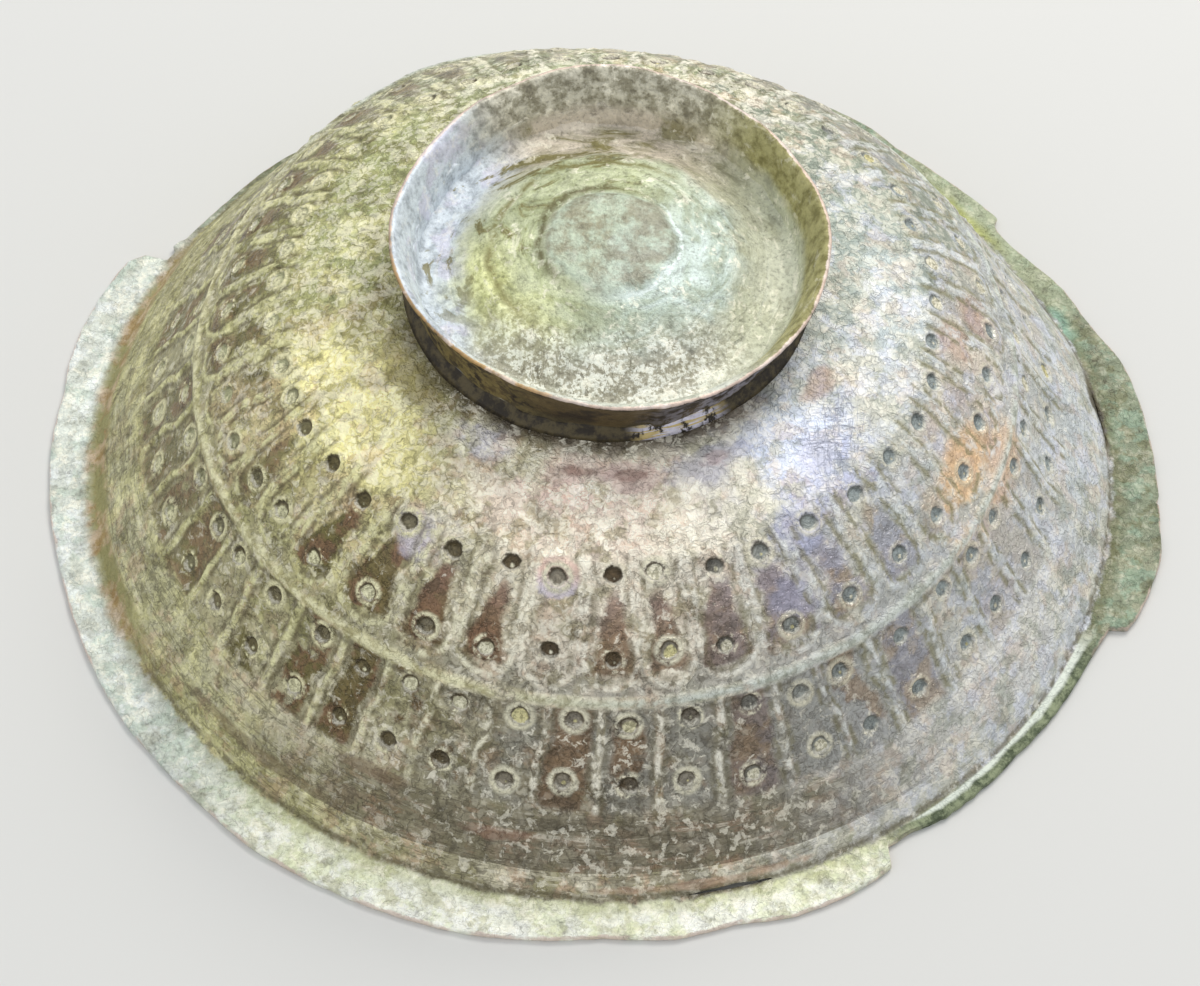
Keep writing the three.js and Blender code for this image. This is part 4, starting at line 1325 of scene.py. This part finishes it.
class FootFinish(Patina):
    """Tinned strip: silvery at the left inside, olive at the right partly with painted shade, dark outside
    with painted shade, bare along the free edge.
    """

    def build(self):
        colours, fine, grit, patchy = self.colours, self.fine, self.grit, self.patchy
        lining = self.foot_floor(self.smooth(self.z + (patchy - 0.5) * 4.0, 54.5, 57.5))
        # The outer side sits in the undercut: mostly very dark painted shade, with lilac, grey-green and
        # olive patches of patina
        outer_colour_and_shade = self.fade(patchy, 0.44, 0.6, 0x33281A, 0x5A4B2E)
        outer_colour_and_shade = self.mix(self.smooth(self.z + self.ragged_edge(), 54.5, 52.0) * 0.6, outer_colour_and_shade, 0x60563C)
        outer_colour_and_shade = self.mix(self.zone(325, 34, 16) * self.smooth(grit, 0.42, 0.58) * 0.7, outer_colour_and_shade, 0x9F9CA6)
        outer_colour_and_shade = self.mix(self.zone(60, 80, 30) * 0.6, outer_colour_and_shade, 0x8C9080)
        outer_colour_and_shade = self.mix(self.zone(212, 30, 16) * self.smooth(self.knobs, 0.42, 0.56) * 0.7, outer_colour_and_shade, 0x8A7A48)
        outer_colour_and_shade = self.light(outer_colour_and_shade, (grit - 0.5) * 1.2 + (fine - 0.5) * 0.6 + 1.0)
        shade = self.mix(self.attribute("inside"), outer_colour_and_shade, lining)
        edge = self.smooth(self.attribute("worn") + (grit - 0.5) * 1.2 + (patchy - 0.5) * 0.8, 0.52, 0.78)
        gold = self.mix(self.zone(222, 34, 18), colours.rose, 0xB8945E)
        gold = self.mix(self.smooth(patchy, 0.5, 0.6) * 0.6, gold, 0xF2E6E0)
        shade = self.mix(edge * 0.85, shade, self.light(gold, (grit - 0.5) * 1.2 + 0.95))
        return self.finish({"Base Color": shade, "Roughness": 0.74 - self.attribute("inside") * 0.2,
                            "Metallic": edge * 0.3 + 0.2},
                           grit * 0.8 + self.knobs * 0.6 + fine * 0.25, 0.3)

    def ragged_edge(self):
        return self.sway(patchy=6.0, grit=2.0)


class SolderFinish(Patina):
    """Dull tin solder, dark with painted shade outside the foot and like the floor inside it, brassy where it
    ran out.
    """

    def build(self):
        grit, fine = self.grit, self.fine
        # The seam outside the foot sits in the undercut: its dark colour is painted shade
        outside = self.fade(grit, 0.4, 0.6, 0x2E261A, 0x51472F)
        spill = self.zone(291, 12, 4) * self.smooth(grit + self.patchy * 0.3, 0.52, 0.62)
        layers = self.cloud(self.join(self.x / 9.0, self.y / 9.0, self.z / 0.5), 1.0, 2.0)
        brass = self.fade(layers, 0.45, 0.55, 0xC9B47C, 0xD8D4E0)
        outside = self.light(self.mix(spill, outside, brass), (grit - 0.5) * 0.9 + (fine - 0.5) * 0.5 + 1.0)
        inside = self.foot_floor(self.smooth(self.z + (self.patchy - 0.5) * 4.0, 54.5, 57.5))
        shade = self.fade(self.radius - (self.z - 51.5) * 0.35, 31.1, 30.9, outside, inside)
        return self.finish({"Base Color": shade, "Roughness": 0.6, "Metallic": 0.2},
                           grit * 0.8 + self.knobs * 0.6 + fine * 0.25, 0.3)


# Operators

class BOWL_OT_body(bpy.types.Operator):
    """Raise the sheet body with its chased bands and torn rim"""
    bl_idname = "bowl.body"
    bl_label = "Raise the body"

    def execute(self, context):
        chasing, colours = Chasing(context.scene.bowl_body), context.scene.bowl_colours
        materials = [WallFinish(colours, chasing).build(), RimFinish(colours, chasing).build(),
                     FloorFinish("floor inside the foot", colours).build()]
        piece = bowl_mesh(chasing, materials)
        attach(piece, "root")
        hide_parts("bowl_body")
        return {"FINISHED"}


class BOWL_OT_foot(bpy.types.Operator):
    """Bend the foot's strip to its flared ring"""
    bl_idname = "bowl.foot"
    bl_label = "Bend the foot"

    def execute(self, context):
        scene = context.scene
        material = FootFinish("patinated foot", scene.bowl_colours).build()
        piece = foot_mesh(scene.bowl_foot, scene.bowl_body, material)
        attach(piece, "root")
        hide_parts("foot_ring")
        return {"FINISHED"}


class BOWL_OT_solder(bpy.types.Operator):
    """Run the solder seam round the foot's root"""
    bl_idname = "bowl.solder"
    bl_label = "Run the solder"

    def execute(self, context):
        scene = context.scene
        material = SolderFinish("soft solder", scene.bowl_colours).build()
        piece = solder_mesh(scene.bowl_foot, scene.bowl_body, material)
        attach(piece, "root")
        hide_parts("foot_solder")
        return {"FINISHED"}


def add_lamp(name, azimuth_degrees, elevation, distance, size, power, shade):
    lamp = bpy.data.lights.new(name, "AREA")
    lamp.size = size
    lamp.energy = power
    lamp.color = shade
    lit = bpy.data.objects.new(name, lamp)
    turn, rise = math.radians(azimuth_degrees), math.radians(elevation)
    level = math.cos(rise)
    place = Vector((math.cos(turn) * level, math.sin(turn) * level, math.sin(rise))) * distance
    lit.location = place + Vector((0, 0, MIDDLE_HEIGHT))
    lit.rotation_euler = place.to_track_quat("Z", "Y").to_euler()
    bpy.context.scene.collection.objects.link(lit)


class BOWL_OT_stage(bpy.types.Operator):
    """Set the floor, the lamps and the camera"""
    bl_idname = "bowl.stage"
    bl_label = "Set the stage"

    def execute(self, context):
        scene, settings = context.scene, context.scene.bowl_stage
        finish = Finish("pale floor")
        bm = bmesh.new()
        bmesh.ops.create_grid(bm, x_segments=1, y_segments=1, size=3.0)
        floor = store(bm, "floor", [finish.finish({"Base Color": settings.floor, "Roughness": 0.9})])
        world = bpy.data.worlds.new("studio")
        world.use_nodes = True
        sky = world.node_tree.nodes["Background"].inputs
        sky[0].default_value, sky[1].default_value = SKY_COLOUR, SKY_STRENGTH
        scene.world = world
        for name, azimuth_degrees, elevation, distance, size, share, shade in LAMPS:
            add_lamp(name, azimuth_degrees, elevation, distance, size, settings.key * share, shade)
        camera = bpy.data.cameras.new("camera")
        camera.lens, camera.sensor_width, camera.sensor_fit = settings.lens, 36.0, "HORIZONTAL"
        viewer = bpy.data.objects.new("camera", camera)
        right, up = Vector(CAMERA_RIGHT), Vector(CAMERA_UP)
        viewer.matrix_world = Matrix.Translation(CAMERA_PLACE) @ Matrix(
            (right, up, right.cross(up))).transposed().to_4x4()
        scene.collection.objects.link(viewer)
        scene.camera = viewer
        scene.view_settings.view_transform = "Standard"
        return {"FINISHED"}


class BOWL_PT_panel(bpy.types.Panel):
    """Steps of the build, in order"""
    bl_idname = "BOWL_PT_panel"
    bl_label = "Copper bowl"
    bl_space_type = "VIEW_3D"
    bl_region_type = "UI"
    bl_category = "Bowl"

    def draw(self, context):
        for operator in OPERATORS:
            self.layout.operator(operator.bl_idname)


OPERATORS = [BOWL_OT_body, BOWL_OT_foot, BOWL_OT_solder, BOWL_OT_stage]
GROUPS = {"bowl_body": BodySizes, "bowl_foot": FootSizes, "bowl_colours": BowlColours,
          "bowl_stage": StageSettings}


def register():
    for kind in [*GROUPS.values(), *OPERATORS, BOWL_PT_panel]:
        bpy.utils.register_class(kind)
    for name, group in GROUPS.items():
        setattr(bpy.types.Scene, name, bpy.props.PointerProperty(type=group))


def unregister():
    for name in GROUPS:
        delattr(bpy.types.Scene, name)
    for kind in [BOWL_PT_panel, *OPERATORS, *GROUPS.values()]:
        bpy.utils.unregister_class(kind)


def main():
    register()
    bpy.ops.bowl.body()
    bpy.ops.bowl.foot()
    bpy.ops.bowl.solder()
    bpy.ops.bowl.stage()


if __name__ == "__main__":
    main()
